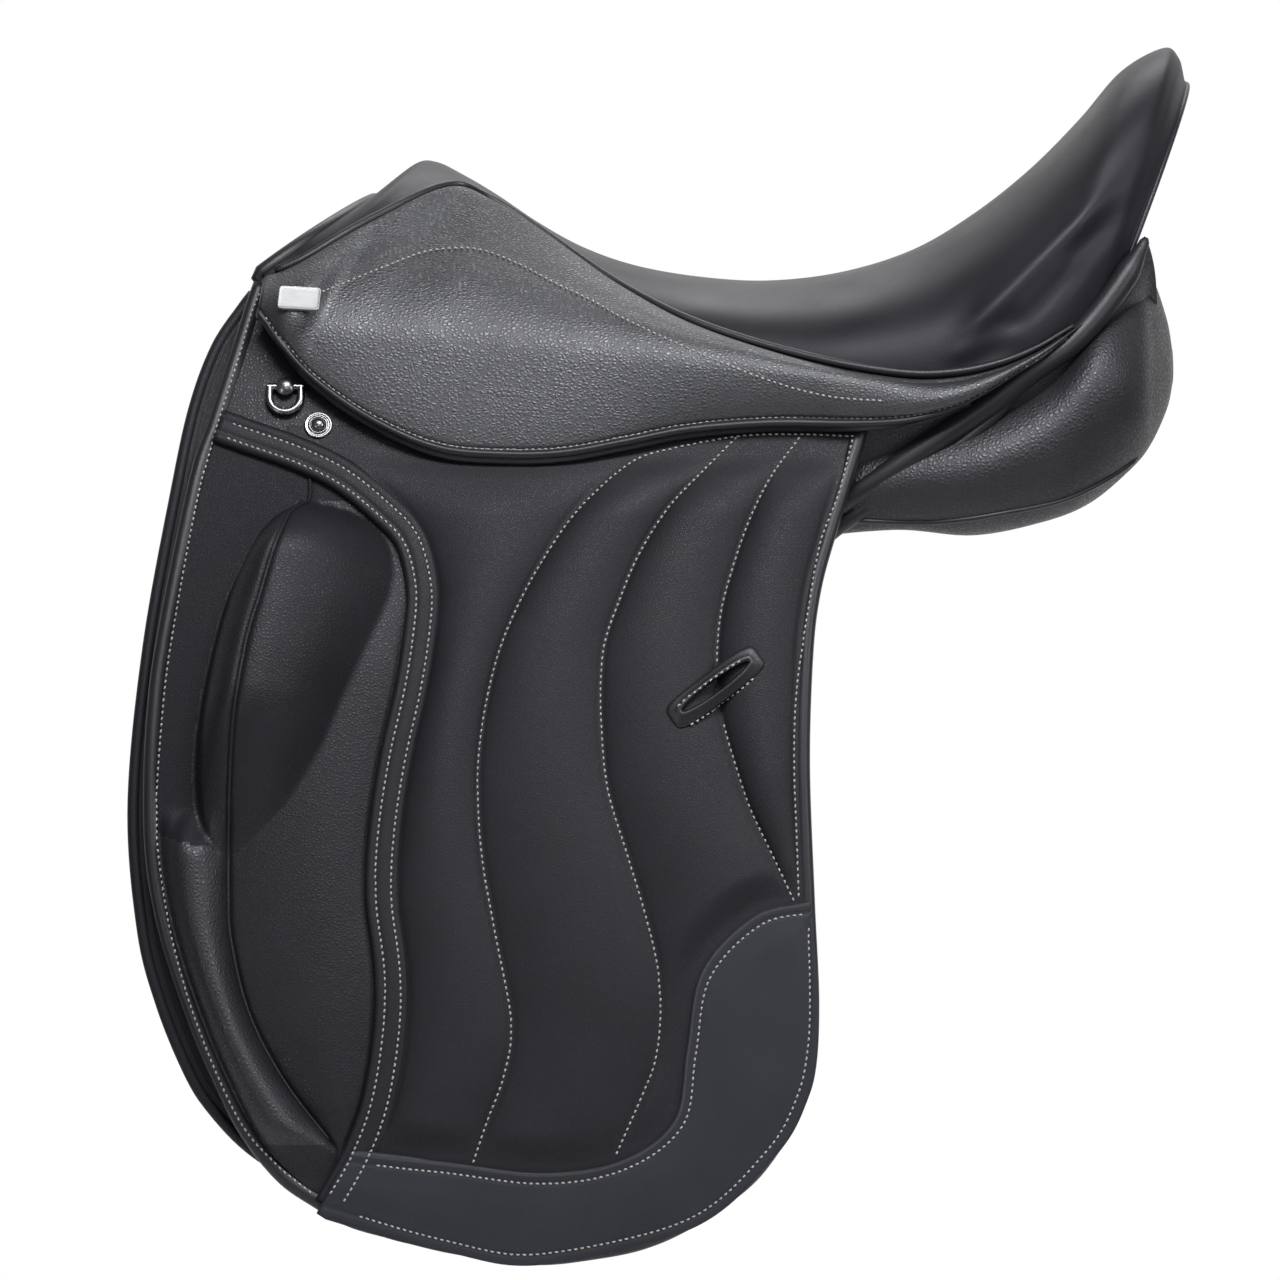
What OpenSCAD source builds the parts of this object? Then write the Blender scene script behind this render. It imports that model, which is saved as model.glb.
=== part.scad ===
// Dressage saddle: laminated tree, padded seat, skirts, quilted flaps with knee blocks, wool panels,
// girth billets, stirrup bars and dee rings. X runs back to the cantle, Y to the off side and Z up.
// The origin lies on the mid-plane, in the gullet under the lowest part of the seat.

/* [Seat] */
// Height of the pommel's crest
pommel_top = 158; // [152:1:168]
// Height of the lowest part of the seat
seat_low = 97; // [94:1:104]
// Height of the cantle rim
cantle_top = 213; // [202:1:224]
// Half width of the seat at the pommel's foot
pommel_half = 104; // [102:1:108]
// Half width of the seat at its widest
seat_half = 138; // [134:1:140]
// Thickness of the seat leather
cover_t = 2.6; // [1.8:0.1:3.2]
// Thickness of the seat foam
foam_t = 19; // [14:0.5:20]
// Thickness of the stretched seat webs
seat_web_t = 1.9; // [1.2:0.1:2.4]
// Width of a seat web
seat_web_w = 44; // [36:1:50]
// Radius of the piping round the seat
piping_r = 2.2; // [1.6:0.1:2.6]

/* [Tree] */
// Thickness of the laminated tree
tree_t = 7.6; // [6:0.2:8]
// Outward lean of the tree's sides, sideways over height
side_lean = 0.45; // [0.43:0.01:0.47]
// Lowest height of the tree's points
point_low = 10; // [6:1:20]
// Lowest height of the tree's side plates
side_low = 34; // [30:1:37]
// Thickness of the steel head plate
head_plate_t = 3.7; // [2.5:0.1:4.5]
// Radius of the rivets
rivet_r = 3; // [2:0.1:3.5]
// Height of a rivet head
rivet_head_h = 1.6; // [1:0.1:2]

/* [Stirrup bars] */
// Length of a stirrup bar's plate
bar_l = 84; // [78:1:86]
// Height of the plate
bar_plate_h = 23; // [20:1:24]
// Thickness of the plate
bar_plate_t = 3; // [2:0.1:4]
// Gap for the stirrup leather behind the bar
leather_gap = 10; // [8:0.5:11]
// Thickness of the bar
bar_t = 7; // [6:0.2:7.4]
// Height of the bar
bar_h = 15; // [13:0.5:16]
// Length of the hinged catch
catch_l = 20; // [16:1:22]
// Radius of the catch pin
catch_pin_r = 2; // [1.5:0.1:2.5]

/* [Flaps] */
// Half spread of the flaps at their lower edge, at the sweat flap
flap_spread = 205; // [195:1:215]
// Radius of the flaps' curve round the horse
flap_r = 980; // [900:10:1100]
// Height at which the flaps hang upright
flap_hang = -370; // [-380:1:-360]
// Thickness of the sweat flap
sweat_t = 3.5; // [2.5:0.1:4]
// Thickness of the flap's backing leather
flap_t = 4; // [3:0.1:4.5]
// Thickness of the flap's quilted facing in its channels
facing_t = 2; // [1.4:0.1:2.6]
// Rise of the quilting between its channels
quilt_rise = 4.5; // [2:0.5:6]
// Thickness of the wear patch
patch_t = 2; // [1.4:0.1:2.6]
// Height of the line on which the flap bends when it is lifted
flap_bend = -2; // [-4:0.5:0]
// Height of the knee block over the flap
knee_rise = 42; // [30:1:46]
// Thickness of the leather over the knee block
knee_pad_t = 2.2; // [1.6:0.1:3]
// Length of the keeper
keeper_l = 50; // [46:1:54]
// Width of the keeper
keeper_w = 14; // [13:0.5:16]
// Thickness of the keeper
keeper_t = 2.4; // [1.6:0.1:3]
// Length of the keeper's slit
slit_l = 38; // [30:1:40]
// Width of the keeper's slit
slit_w = 7; // [5:0.5:8]

/* [Skirts] */
// Thickness of a skirt
skirt_t = 4; // [3:0.1:4.6]
// Swell of the roll along a skirt's lower edge
skirt_roll = 3.5; // [1.5:0.5:5]
// Length of the name plate
plate_l = 20; // [16:1:24]
// Height of the name plate
plate_h = 11; // [8:1:12]
// Thickness of the name plate
plate_t = 1; // [0.6:0.1:1.6]

/* [Girthing] */
// Thickness of the girth webs
girth_web_t = 1.6; // [1.2:0.1:2]
// Width of a girth web
girth_web_w = 34; // [28:1:36]
// Thickness of a billet
billet_t = 3.5; // [2.5:0.1:4]
// Width of a billet
billet_w = 25; // [22:0.5:26]
// Height of the billets' tips
billet_low = -322; // [-330:1:-310]
// Height of the pivots at the billets' tops
billet_pivot = 4; // [0:1:8]
// Number of holes in a billet
billet_holes = 6; // [4:1:7]
// Radius of a billet hole
billet_hole_r = 2.5; // [2:0.1:3]
// Distance between billet holes
billet_pitch = 25; // [22:1:28]

/* [Panels] */
// Half width of the gullet between the panels
gullet_half = 32; // [30:1:36]
// Radius of the roll along the panel's upper edge
panel_roll_r = 6; // [4.5:0.5:6.5]

/* [Fittings] */
// Radius of the dee ring's wire
dee_wire_r = 1.9; // [1.5:0.1:2.2]
// Width of the dee ring between its wire centres
dee_w = 15; // [13:0.5:16]
// Depth of the dee ring between its wire centres
dee_h = 13; // [11:0.5:14]
// Radius of the dee staple
staple_r = 4.6; // [4.2:0.1:5]
// Radius of the rosette washer
washer_r = 6.6; // [5.5:0.1:7.5]
// Thickness of the rosette washer
washer_t = 1.4; // [1:0.1:2]
// Radius of the domed screw
screw_r = 3.4; // [2.6:0.1:4]

/* [Fits] */
// Gap between neighbouring layers
layer_gap = 0.3; // [0.3:0.05:0.5]
// Gap above and below the stretched webs
web_gap = 0.8; // [0.6:0.1:1]
// Gap left for the billets to swing in
swing_gap = 1.3; // [1.2:0.1:2]
// Radial clearance of a turning pin
pin_gap = 0.06; // [0.03:0.01:0.1]
// Gap above and below the bend lines of the flaps
bend_gap = 0.2; // [0.2:0.05:0.5]

/* [Hidden] */
$fn = 48;

// Colours
leather = [0.10, 0.10, 0.11];
soft_leather = [0.14, 0.14, 0.15];
steel = [0.72, 0.73, 0.75];
wood = [0.70, 0.52, 0.32];
foam_colour = [0.85, 0.80, 0.62];
web_colour = [0.80, 0.76, 0.66];

// Depths of the seat's layers under its surface
foam_out = cover_t + layer_gap;
foam_in = foam_out + foam_t;
seat_web_out = foam_in + web_gap;
seat_web_in = seat_web_out + seat_web_t;
tree_out = seat_web_in + web_gap;
tree_in = tree_out + tree_t;
head_out = tree_in + layer_gap;
head_in = head_out + head_plate_t;

// Radial places of the flap's layers, out from the inside of the sweat flap
girth_web_in = sweat_t + layer_gap;
billet_in = girth_web_in + girth_web_t + layer_gap;
billet_out = billet_in + billet_t;
flap_in = billet_out + swing_gap;
flap_out = flap_in + flap_t;
facing_in = flap_out + layer_gap;
facing_out = facing_in + facing_t;
patch_in = facing_out + 2 * layer_gap;
keeper_in = facing_out + quilt_rise + layer_gap;

// Foot of the pommel
foot_x = -237;
foot_z = 95;
lean_angle = atan(side_lean);

function mix(a, b, t) = a + (b - a) * t;
function ease(t) = let(c = min(max(t, 0), 1)) c * c * (3 - 2 * c);

// Smooth curve through evenly numbered points
function spline(p, u) =
    let(i = min(max(floor(u), 0), len(p) - 2), t = u - i)
    let(b = p[i], c = p[i + 1])
    let(a = i > 0 ? p[i - 1] : 2 * b - c, d = i + 2 < len(p) ? p[i + 2] : 2 * c - b)
    b + 0.5 * t * (c - a + t * (2 * a - 5 * b + 4 * c - d + t * (3 * (b - c) + d - a)));

// Smooth value at x from a table of [x, value] rows
function row_of(t, x, i = 0) =
    i >= len(t) - 2 || (x - t[i + 1][0]) * (t[1][0] - t[0][0]) < 0 ? i : row_of(t, x, i + 1);
function slope_at(t, i) =
    let(a = t[max(i - 1, 0)], b = t[min(i + 1, len(t) - 1)]) (b[1] - a[1]) / (b[0] - a[0]);
function look(t, x) =
    let(i = row_of(t, x), h = t[i + 1][0] - t[i][0], u = min(max((x - t[i][0]) / h, 0), 1))
    let(u2 = u * u, u3 = u2 * u)
    (2 * u3 - 3 * u2 + 1) * t[i][1] + (u3 - 2 * u2 + u) * h * slope_at(t, i)
    + (3 * u2 - 2 * u3) * t[i + 1][1] + (u3 - u2) * h * slope_at(t, i + 1);

// Seat sections: foot x and z, half width, squareness, top x and z, height share of the piping
function flare(z) = pommel_half + side_lean * (foot_z - z);
function dip(share) = mix(seat_low, pommel_top, share);
function rise(share) = mix(seat_low, cantle_top, share);
seat_sections = [
    [foot_x, foot_z, flare(foot_z), 1.9, -163, dip(0.93), 0.02],
    [-228, 84, flare(84), 1.9, -151, dip(0.99), 0.41],
    [-216, 78, flare(78), 1.9, -144, dip(0.94), 0.64],
    [-200, 73, flare(73), 2.3, -135, dip(0.86), 0.89],
    [-178, 68, flare(68), 3.0, -120, dip(0.71), 0.93],
    [-146, 63, flare(63), 3.2, -100, dip(0.49), 0.93],
    [-112, 58, flare(58), 3.0, -78, dip(0.29), 0.875],
    [-74, 54, flare(55), 2.6, -52, dip(0.155), 0.73],
    [-30, 48, seat_half - 12, 2.6, -20, dip(0.03), 0.52],
    [14, 43, seat_half - 7, 2.6, 14, seat_low, 0.35],
    [46, 40, seat_half - 2, 2.6, 50, rise(0.037), 0.23],
    [76, 38, seat_half, 2.6, 85, rise(0.132), 0.16],
    [98, 38, seat_half, 2.6, 115, rise(0.285), 0.136],
    [118, 40, seat_half - 2, 2.6, 143, rise(0.476), 0.134],
    [134, 45, seat_half - 7, 2.5, 168, rise(0.694), 0.128],
    [147, 52, seat_half - 13, 2.4, 188, rise(0.897), 0.12],
    [160, 63, seat_half - 22, 2.3, 208, rise(1), 0.1],
    [167, 70, seat_half - 28, 2.2, 215.5, rise(0.962), 0.09],
    [170, 74, seat_half - 31, 2.2, 218.5, rise(0.865), 0.08]
];
seat_end = len(seat_sections) - 1;

// Point of the seat: place along it, angle from the crest, depth under its surface
function section_point(v, a, d) =
    let(up = pow(max(cos(a), 0), 2 / v[3]), out = pow(abs(sin(a)), 2 / v[3]) * sign(a))
    let(h = v[5] - v[1], z = v[1] + (h - d) * up)
    [mix(v[0], v[4], (z - v[1]) / h), (v[2] - d) * out, z];
function seat_point(u, a, d) = section_point(spline(seat_sections, u), a, d);
function piping_angle(u) = let(v = spline(seat_sections, u)) acos(pow(v[6], v[3] / 2));
// Point of the tree's sloping side under the seat sections
function side_y(z, d) = flare(z) - d;
function side_point(u, z, d, s) = [spline(seat_sections, u)[0], s * side_y(z, d), z];

// Middle of the flaps' curve. The spread is given for one pommel width and one hang: with others, the flaps
// keep their place at the head of the tree
spread_pommel = 104;
spread_hang = -370;
function head_inset(hang) = flap_r * (1 - cos(asin((foot_z - hang) / (flap_r + flap_out))));
flap_shift = pommel_half - spread_pommel + head_inset(flap_hang) - head_inset(spread_hang);
flap_middle = flap_spread - flap_r + flap_shift;
// Point of the flap's curve: distance back, height at the flap's face, distance out
function flap_point(x, z, d) =
    let(a = asin((z - flap_hang) / (flap_r + flap_out)))
    [x, flap_middle + (flap_r + d) * cos(a), flap_hang + (flap_r + d) * sin(a)];

// Front and rear edges of the sweat flap and the flap, as height and distance back
sweat_front = [[91, -243], [72, -255], [43, -265], [2, -273], [-73, -285], [-148, -291], [-207, -286],
    [-242, -277], [-274, -264], [-292, -253], [-312, -234], [-328, -208], [-340, -176], [-346, -130],
    [-348, -95]];
sweat_rear = [[20, 46], [-23, 33], [-77, 22], [-193, 22], [-275, 22], [-313, 4], [-332, -22],
    [-343, -55], [-348, -95]];
flap_front = [[88, -238], [64, -245], [31, -255], [2, -264], [-73, -278], [-110, -282], [-148, -283],
    [-180, -281], [-213, -274], [-251, -261], [-279, -249], [-304, -236], [-325, -219], [-337, -202],
    [-346, -186], [-352, -165], [-358, -141], [-362, -116], [-364, -96]];
flap_rear = [[30, 60], [-7, 48], [-23, 43], [-48, 36], [-77, 32], [-130, 30], [-193, 32], [-242, 34],
    [-275, 32], [-294, 25], [-313, 14], [-329, 0], [-347, -26], [-357, -49], [-362, -75], [-364, -94]];
// Left edge of the quilted facing and its three sewn channels, as height and distance back
facing_front = [[25, -257], [10, -216], [0, -195], [-16, -176], [-30, -165], [-50, -160], [-70, -161],
    [-96, -165], [-128, -172], [-163, -177], [-194, -178], [-226, -174], [-252, -174], [-285, -179],
    [-310, -188], [-332, -201], [-347, -186], [-364, -96]];
channel_1 = [[11, -53], [-11, -78], [-38, -97], [-63, -110], [-85, -118], [-114, -124], [-142, -126],
    [-174, -124], [-208, -118], [-251, -110], [-275, -113], [-297, -121], [-317, -128], [-364, -96]];
channel_2 = [[6, -20], [-11, -36], [-33, -50], [-54, -59], [-74, -66], [-93, -68], [-111, -68],
    [-142, -65], [-172, -56], [-198, -48], [-222, -42], [-242, -40], [-267, -42], [-284, -48],
    [-313, -61], [-364, -95.5]];
channel_3 = [[4, 13], [-18, 2], [-41, -6], [-60, -11], [-83, -13], [-108, -11], [-127, -6], [-151, 2],
    [-172, 12], [-193, 22], [-242, 26], [-275, 24], [-313, 7], [-347, -32], [-364, -95]];
// Upper edge of the wear patch, as distance back and height, and the edges of its strip
patch_top = [[-200, -303], [-142, -317], [-95, -322], [-58, -316], [-42, -308], [-31, -294],
    [-27, -262], [-23, -231], [-14, -214], [2, -201], [32, -194]];
patch_upper = [[30, -196], [4, -203], [-20, -228], [-27, -264], [-33, -297], [-58, -316], [-95, -322],
    [-140, -317], [-182, -307]];
patch_lower = [[31, -206], [33, -232], [33, -262], [28, -287], [13, -313], [-25, -346], [-95, -363],
    [-140, -357], [-184, -345]];
// Knee block: front and rear foot, as height and distance back
knee_front = [[-10, -214], [-30, -238], [-59, -247], [-106, -258], [-141, -260], [-160, -257],
    [-172, -248]];
knee_rear = [[-10, -207], [-17, -190], [-27, -183], [-40, -180], [-60, -184], [-80, -192], [-103, -203],
    [-125, -216], [-139, -225], [-154, -233], [-172, -244]];

// Skirt's lower edge as distance back and height, one point per seat section
skirt_lower = [[-231, 68], [-218, 58], [-196, 42], [-170, 29], [-142, 21], [-112, 18], [-85, 19],
    [-57, 23], [-26, 26], [12, 27], [46, 27], [75, 29], [97, 35], [114, 43], [130, 53], [143, 61],
    [154, 70]];
skirt_tip = len(skirt_lower) - 1;
// Line on which a skirt bends when it is lifted, and the seat section where that line ends
skirt_front_out = 29;
skirt_rear_out = 11;
skirt_bend_front = [-226, pommel_half + skirt_front_out, 74];
skirt_bend_rear = [97, seat_half + skirt_rear_out, 42];
skirt_bend_end = 11.6;
skirt_axis_gap = 1;

// Panel sections: distance back, centre out and up, half length, half depth, lean from upright
panel_sections = [
    [-234, 84, 8, 46, 6, 24],
    [-228, 87, -12, 78, 16, 24],
    [-212, 89, -28, 96, 24, 24],
    [-150, 92, -32, 100, 26, 25],
    [-95, 92, -24, 92, 26, 30],
    [-40, 89, -8, 76, 25, 42],
    [20, 84, 0, 57, 24, 58],
    [70, 86, 9, 57, 26, 69],
    [110, 87, 11, 57, 30, 73],
    [145, 84, 18, 53, 32, 70],
    [170, 77, 31, 48, 35, 62],
    [190, 64, 49, 46, 31, 42],
    [203, 56, 61, 46, 26, 30],
    [211, 53, 64, 30, 18, 30],
    [214, 53, 63, 10, 6, 30]
];
// Place of the roll round the panel's section, as section number and angle
panel_roll_angle = [[6.75, 30], [7.4, 40], [8.35, 55], [9.3, 70], [10.4, 95], [11.2, 128], [11.7, 146]];

// Faces of four corners, as two triangles
function quad(a, b, c, d) = [[a, b, c], [a, c, d]];
function turned(faces, flip) = flip ? [for (f = faces) [f[2], f[1], f[0]]] : faces;

// Solid between two grids of points, without the cells that keep() leaves out
module slab(outer, inner, keep = function(i, j) true) {
    m = len(outer);
    n = len(outer[0]);
    back = m * n;
    held = [for (i = [0 : m - 2]) [for (j = [0 : n - 2]) keep(i, j)]];
    function has(i, j) = i >= 0 && j >= 0 && i < m - 1 && j < n - 1 && held[i][j];
    ci = floor(m / 2);
    cj = floor(n / 2);
    normal = cross(outer[ci][cj] - outer[ci - 1][cj], outer[ci][cj] - outer[ci][cj - 1]);
    flip = normal * (outer[ci][cj] - inner[ci][cj]) > 0;
    faces = [
        for (i = [0 : m - 2], j = [0 : n - 2]) if (held[i][j])
            let(a = i * n + j, b = a + 1, c = a + n + 1, d = a + n)
            each concat(
                quad(a, b, c, d),
                quad(back + a, back + d, back + c, back + b),
                has(i - 1, j) ? [] : quad(b, a, back + a, back + b),
                has(i + 1, j) ? [] : quad(d, c, back + c, back + d),
                has(i, j - 1) ? [] : quad(a, d, back + d, back + a),
                has(i, j + 1) ? [] : quad(c, b, back + b, back + c)
            )
    ];
    polyhedron(concat([for (r = outer) each r], [for (r = inner) each r]), turned(faces, !flip));
}

// Solid through a row of closed rings
function middle(ring) = [for (k = [0 : 2]) [for (p = ring) p[k]] * [for (p = ring) 1] / len(ring)];
module loft(rings) {
    m = len(rings);
    n = len(rings[0]);
    first = middle(rings[0]);
    last = middle(rings[m - 1]);
    side = cross(rings[0][0] - first, rings[0][1] - first);
    flip = side * (middle(rings[1]) - first) > 0;
    faces = concat(
        [for (i = [0 : m - 2], j = [0 : n - 1])
            let(k = (j + 1) % n)
            each quad(i * n + j, i * n + k, (i + 1) * n + k, (i + 1) * n + j)],
        [for (j = [0 : n - 1]) [m * n, (j + 1) % n, j]],
        [for (j = [0 : n - 1]) [m * n + 1, (m - 1) * n + j, (m - 1) * n + (j + 1) % n]]
    );
    polyhedron(concat([for (r = rings) each r], [first, last]), turned(faces, flip));
}

// Round cord of radius r along a route
function unit(v) = v / norm(v);
function run_at(p, i) = unit(p[min(i + 1, len(p) - 1)] - p[max(i - 1, 0)]);
module cord(route, r, sides = 8) {
    loft([for (i = [0 : len(route) - 1])
        let(t = run_at(route, i), u = unit(cross(t, [0.3, 0.2, 1])), v = cross(t, u))
        [for (j = [0 : sides - 1]) route[i] + r * (cos(360 * j / sides) * u + sin(360 * j / sides) * v)]]);
}

module mirrored(side) {
    if (side > 0) children();
    else mirror([0, 1, 0]) children();
}
module both() {
    children();
    mirror([0, 1, 0]) children();
}

// Evenly spaced numbers
function steps(a, b, n) = [for (i = [0 : n]) mix(a, b, i / n)];

// Seat, whose layers share their rows so that they nest
seat_rows = [
    0, 0.6, 1, 1.5, 2, 2.4, 3, 3.6, 4.3, 5, 6, 7, 8,
    9, 10, 11, 12, 13, 14, 14.7, 15.4, 16, 16.7, 17.4, seat_end
];
seat_columns = 14;
module seat_layer(d_out, d_in) {
    function grid(d) = [for (u = seat_rows)
        [for (q = steps(-1, 1, seat_columns)) seat_point(u, q * piping_angle(u), d)]];
    slab(grid(d_out), grid(d_in));
}
module seat_cover() {
    color(leather) seat_layer(0, cover_t);
}
module seat_foam() {
    color(foam_colour) seat_layer(foam_out, foam_in);
}

// Two webs along the seat, from the pommel to the cantle, joined across it in three places
web_rows = [for (u = seat_rows) if (u >= 2 && u <= seat_end - 2) u];
web_split = 4;
web_columns = 3;
module seat_webs() {
    joined = [0, floor(len(web_rows) / 2), len(web_rows) - 2];
    kept = function(i, j) j != web_columns || len(search(i, joined)) > 0;
    function reach(u) = asin(min(seat_web_w / spline(seat_sections, u)[2], 1));
    function half(u, s) = [for (a = steps(web_split, reach(u), web_columns)) s * a];
    function grid(d) = [for (u = web_rows)
        [for (a = concat(reversed(half(u, -1)), half(u, 1))) seat_point(u, a, d)]];
    color(web_colour) slab(grid(seat_web_out), grid(seat_web_in), kept);
}

// Tree
tree_rows = [for (u = seat_rows) if (u > 0) u];
tree_angles = [0, 16, 32, 46, 60, 75, 90];
head_end = 4;
cantle_start = 14.7;
leg_end = 2.4;
side_end = 6;
rail_angle = 46;
function tree_row(u, d, s, lows) = concat(
    [for (k = [0 : len(lows) - 1]) side_point(u, lows[len(lows) - 1 - k], d, s)],
    [for (k = [0 : len(tree_angles) - 1]) seat_point(u, s * tree_angles[len(tree_angles) - 1 - k], d)]
);
function reversed(l) = [for (k = [len(l) - 1 : -1 : 0]) l[k]];
function tree_grid(rows, d, lows) = [for (u = rows)
    let(near = tree_row(u, d, -1, lows), far = reversed(tree_row(u, d, 1, lows)))
    concat(near, [for (k = [1 : len(far) - 1]) far[k]])];
tree_lows = [mix(foot_z, side_low, 0.75), side_low, point_low];
module tree() {
    lows = len(tree_lows);
    last = 2 * (lows + len(tree_angles) - 1);
    kept = function(i, j)
        let(k = min(j, last - 1 - j), u = tree_rows[i])
        k == 0 ? u < leg_end - 0.01 :
        k < lows ? u < side_end - 0.01 :
        u < head_end || u > cantle_start - 0.01 || tree_angles[lows + len(tree_angles) - 2 - k] >= rail_angle;
    outer = tree_grid(tree_rows, tree_out, tree_lows);
    inner = tree_grid(tree_rows, tree_in, tree_lows);
    color(wood) slab(outer, inner, kept);
}
module head_plate() {
    rows = [for (u = tree_rows) if (u < leg_end) u];
    lows = [side_low, mix(side_low, point_low, 0.6)];
    color(steel) slab(tree_grid(rows, head_out, lows), tree_grid(rows, head_in, lows));
}

// Local frame on the tree's side, Y out of the plate
module on_side(x, z) {
    translate([x, side_y(z, tree_out), z]) rotate([lean_angle, 0, 0]) children();
}
module rivet(length) {
    translate([0, rivet_head_h + layer_gap, 0]) rotate([90, 0, 0]) union() {
        cylinder(h = length + rivet_head_h + layer_gap, r = rivet_r);
        cylinder(h = rivet_head_h, r = 1.6 * rivet_r);
    }
}
leg_x = -222;
head_rivet_z = [60, 40];
head_rivet_l = (tree_t + layer_gap + head_plate_t) * cos(lean_angle);
module head_plate_rivets() {
    color(steel) both() for (z = head_rivet_z) on_side(leg_x, z) rivet(head_rivet_l);
}

// Stirrup bar: plate on the tree's side, a post at the front and a bar open to the rear
bar_front = -204;
bar_mid_z = 47;
bar_out = layer_gap + bar_plate_t + leather_gap;
bar_post_l = 14;
tongue_t = 3.2;
catch_t = bar_t - tongue_t - layer_gap;
catch_x = bar_front + bar_l - bar_h / 2;
module stirrup_bar(side) {
    color(steel) mirrored(side) on_side(bar_front, bar_mid_z) difference() {
        union() {
            translate([0, layer_gap, -bar_plate_h / 2]) cube([bar_l, bar_plate_t, bar_plate_h]);
            translate([0, layer_gap, -bar_h / 2]) cube([bar_post_l, bar_out - layer_gap + bar_t, bar_h]);
            translate([0, bar_out, -bar_h / 2]) cube([bar_l - bar_h - layer_gap, bar_t, bar_h]);
            translate([0, bar_out, -bar_h / 2]) cube([bar_l - bar_h / 2, tongue_t, bar_h]);
            translate([bar_l - bar_h / 2, bar_out, 0])
                rotate([-90, 0, 0]) cylinder(h = tongue_t, r = bar_h / 2);
        }
        for (x = bar_rivets) translate([x, -1, 0])
            rotate([-90, 0, 0]) cylinder(h = bar_plate_t + 2, r = rivet_r);
        translate([catch_x - bar_front, bar_out - 1, 0])
            rotate([-90, 0, 0]) cylinder(h = bar_t, r = catch_pin_r);
    }
}
bar_rivets = [bar_l * 0.36, bar_l * 0.72];
bar_rivet_l = (tree_t + layer_gap) * cos(lean_angle);
module stirrup_bar_rivets() {
    color(steel) both() for (x = bar_rivets) on_side(bar_front + x, bar_mid_z)
        translate([0, bar_plate_t + layer_gap, 0]) rivet(bar_rivet_l + bar_plate_t);
}
module bar_catch(side) {
    color(steel) mirrored(side) on_side(catch_x, bar_mid_z)
        translate([0, bar_out + tongue_t + layer_gap, 0]) rotate([-90, 0, 0]) difference() {
            union() {
                cylinder(h = catch_t, r = bar_h / 2);
                translate([0, -bar_h * 0.35, 0]) cube([catch_l, bar_h * 0.7, catch_t]);
            }
            translate([0, 0, -1]) cylinder(h = catch_t + 2, r = catch_pin_r + pin_gap);
        }
}
module catch_pins() {
    color(steel) both() on_side(catch_x, bar_mid_z) translate([0, bar_out, 0]) rotate([-90, 0, 0]) union() {
        cylinder(h = bar_t + layer_gap, r = catch_pin_r);
        translate([0, 0, bar_t + layer_gap]) cylinder(h = rivet_head_h, r = 1.6 * catch_pin_r);
    }
}

// Girth webs from the tree's rail down to the billets
web_x = [-95, -5];
web_low = -40;
module girth_web(x) {
    u = x < -50 ? 6.5 : 8.7;
    rail = seat_point(u, 90, tree_out - 2 * web_gap);
    top = seat_point(u, 78, tree_out - 2 * web_gap);
    knee = flap_point(x, 30, girth_web_in);
    bow = mix(rail, knee, 0.5);
    route = concat([[top[1], top[2]], [rail[1], rail[2]], [bow[1], bow[2] + 2]],
        [for (z = [30, 15, 0, -20, web_low]) let(p = flap_point(x, z, girth_web_in)) [p[1], p[2]]]);
    function run(i) = unit(route[min(i + 1, len(route) - 1)] - route[max(i - 1, 0)]);
    function grid(d) = [for (i = [0 : len(route) - 1]) let(at = route[i] + d * [-run(i)[1], run(i)[0]])
        [for (s = [-0.5, 0, 0.5]) [x + s * girth_web_w, at[0], at[1]]]];
    slab(grid(girth_web_t), grid(0));
}
module girth_webs(side) {
    color(web_colour) mirrored(side) for (x = web_x) girth_web(x);
}

// Cord of piping on the seat's edge, outside the seat and above the skirt
module seat_piping(side) {
    function at(u) =
        let(a = piping_angle(u), p = seat_point(u, a, -piping_r - 3 * layer_gap))
        p + (piping_r + 2 * layer_gap) * unit(seat_point(u, a - 2, -piping_r) - seat_point(u, a, -piping_r));
    color(leather) mirrored(side) cord([for (u = steps(0.12, seat_end - 0.8, 32)) at(u)], piping_r, 6);
}

// Leather over the end of the seat's layers, at the pommel or the cantle
facing_shift = 0.6;
module arch_facing(u, shift, depth, t, reach) {
    function grid(x) = [for (d = [0, depth * 0.5, depth])
        [for (a = steps(-reach, reach, 18)) seat_point(u, a, d) + [x, 0, 0]]];
    slab(grid(shift + sign(shift) * t), grid(shift));
}
module pommel_facing() {
    color(leather) arch_facing(0, -facing_shift, head_in, cover_t, 88);
}
module cantle_facing() {
    color(leather) arch_facing(seat_end, facing_shift, head_in + 8, cover_t, 86);
}

// Skirt: from the piping over the stirrup bar to its lower edge
function skirt_bend(u) =
    let(run = skirt_bend_rear[0] - skirt_bend_front[0])
    let(t = (spline(skirt_lower, u)[0] - skirt_bend_front[0]) / run)
    mix(skirt_bend_front, skirt_bend_rear, t) - [0, skirt_axis_gap, 0];
skirt_stand = [[0, 10], [1, 9.5], [2, 6], [3, 3], [4, 1], [skirt_tip, 0.6]];
function skirt_foot(u) =
    let(p = spline(skirt_lower, u), face = flap_point(p[0], p[1], flap_out + look(skirt_stand, u))[1])
    let(edge = seat_point(u, piping_angle(u), 0)[1])
    [p[0], max(face, edge + 3) + skirt_t, p[1]];
function skirt_top(u) = seat_point(u, piping_angle(u), -3 * layer_gap - skirt_t);
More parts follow.
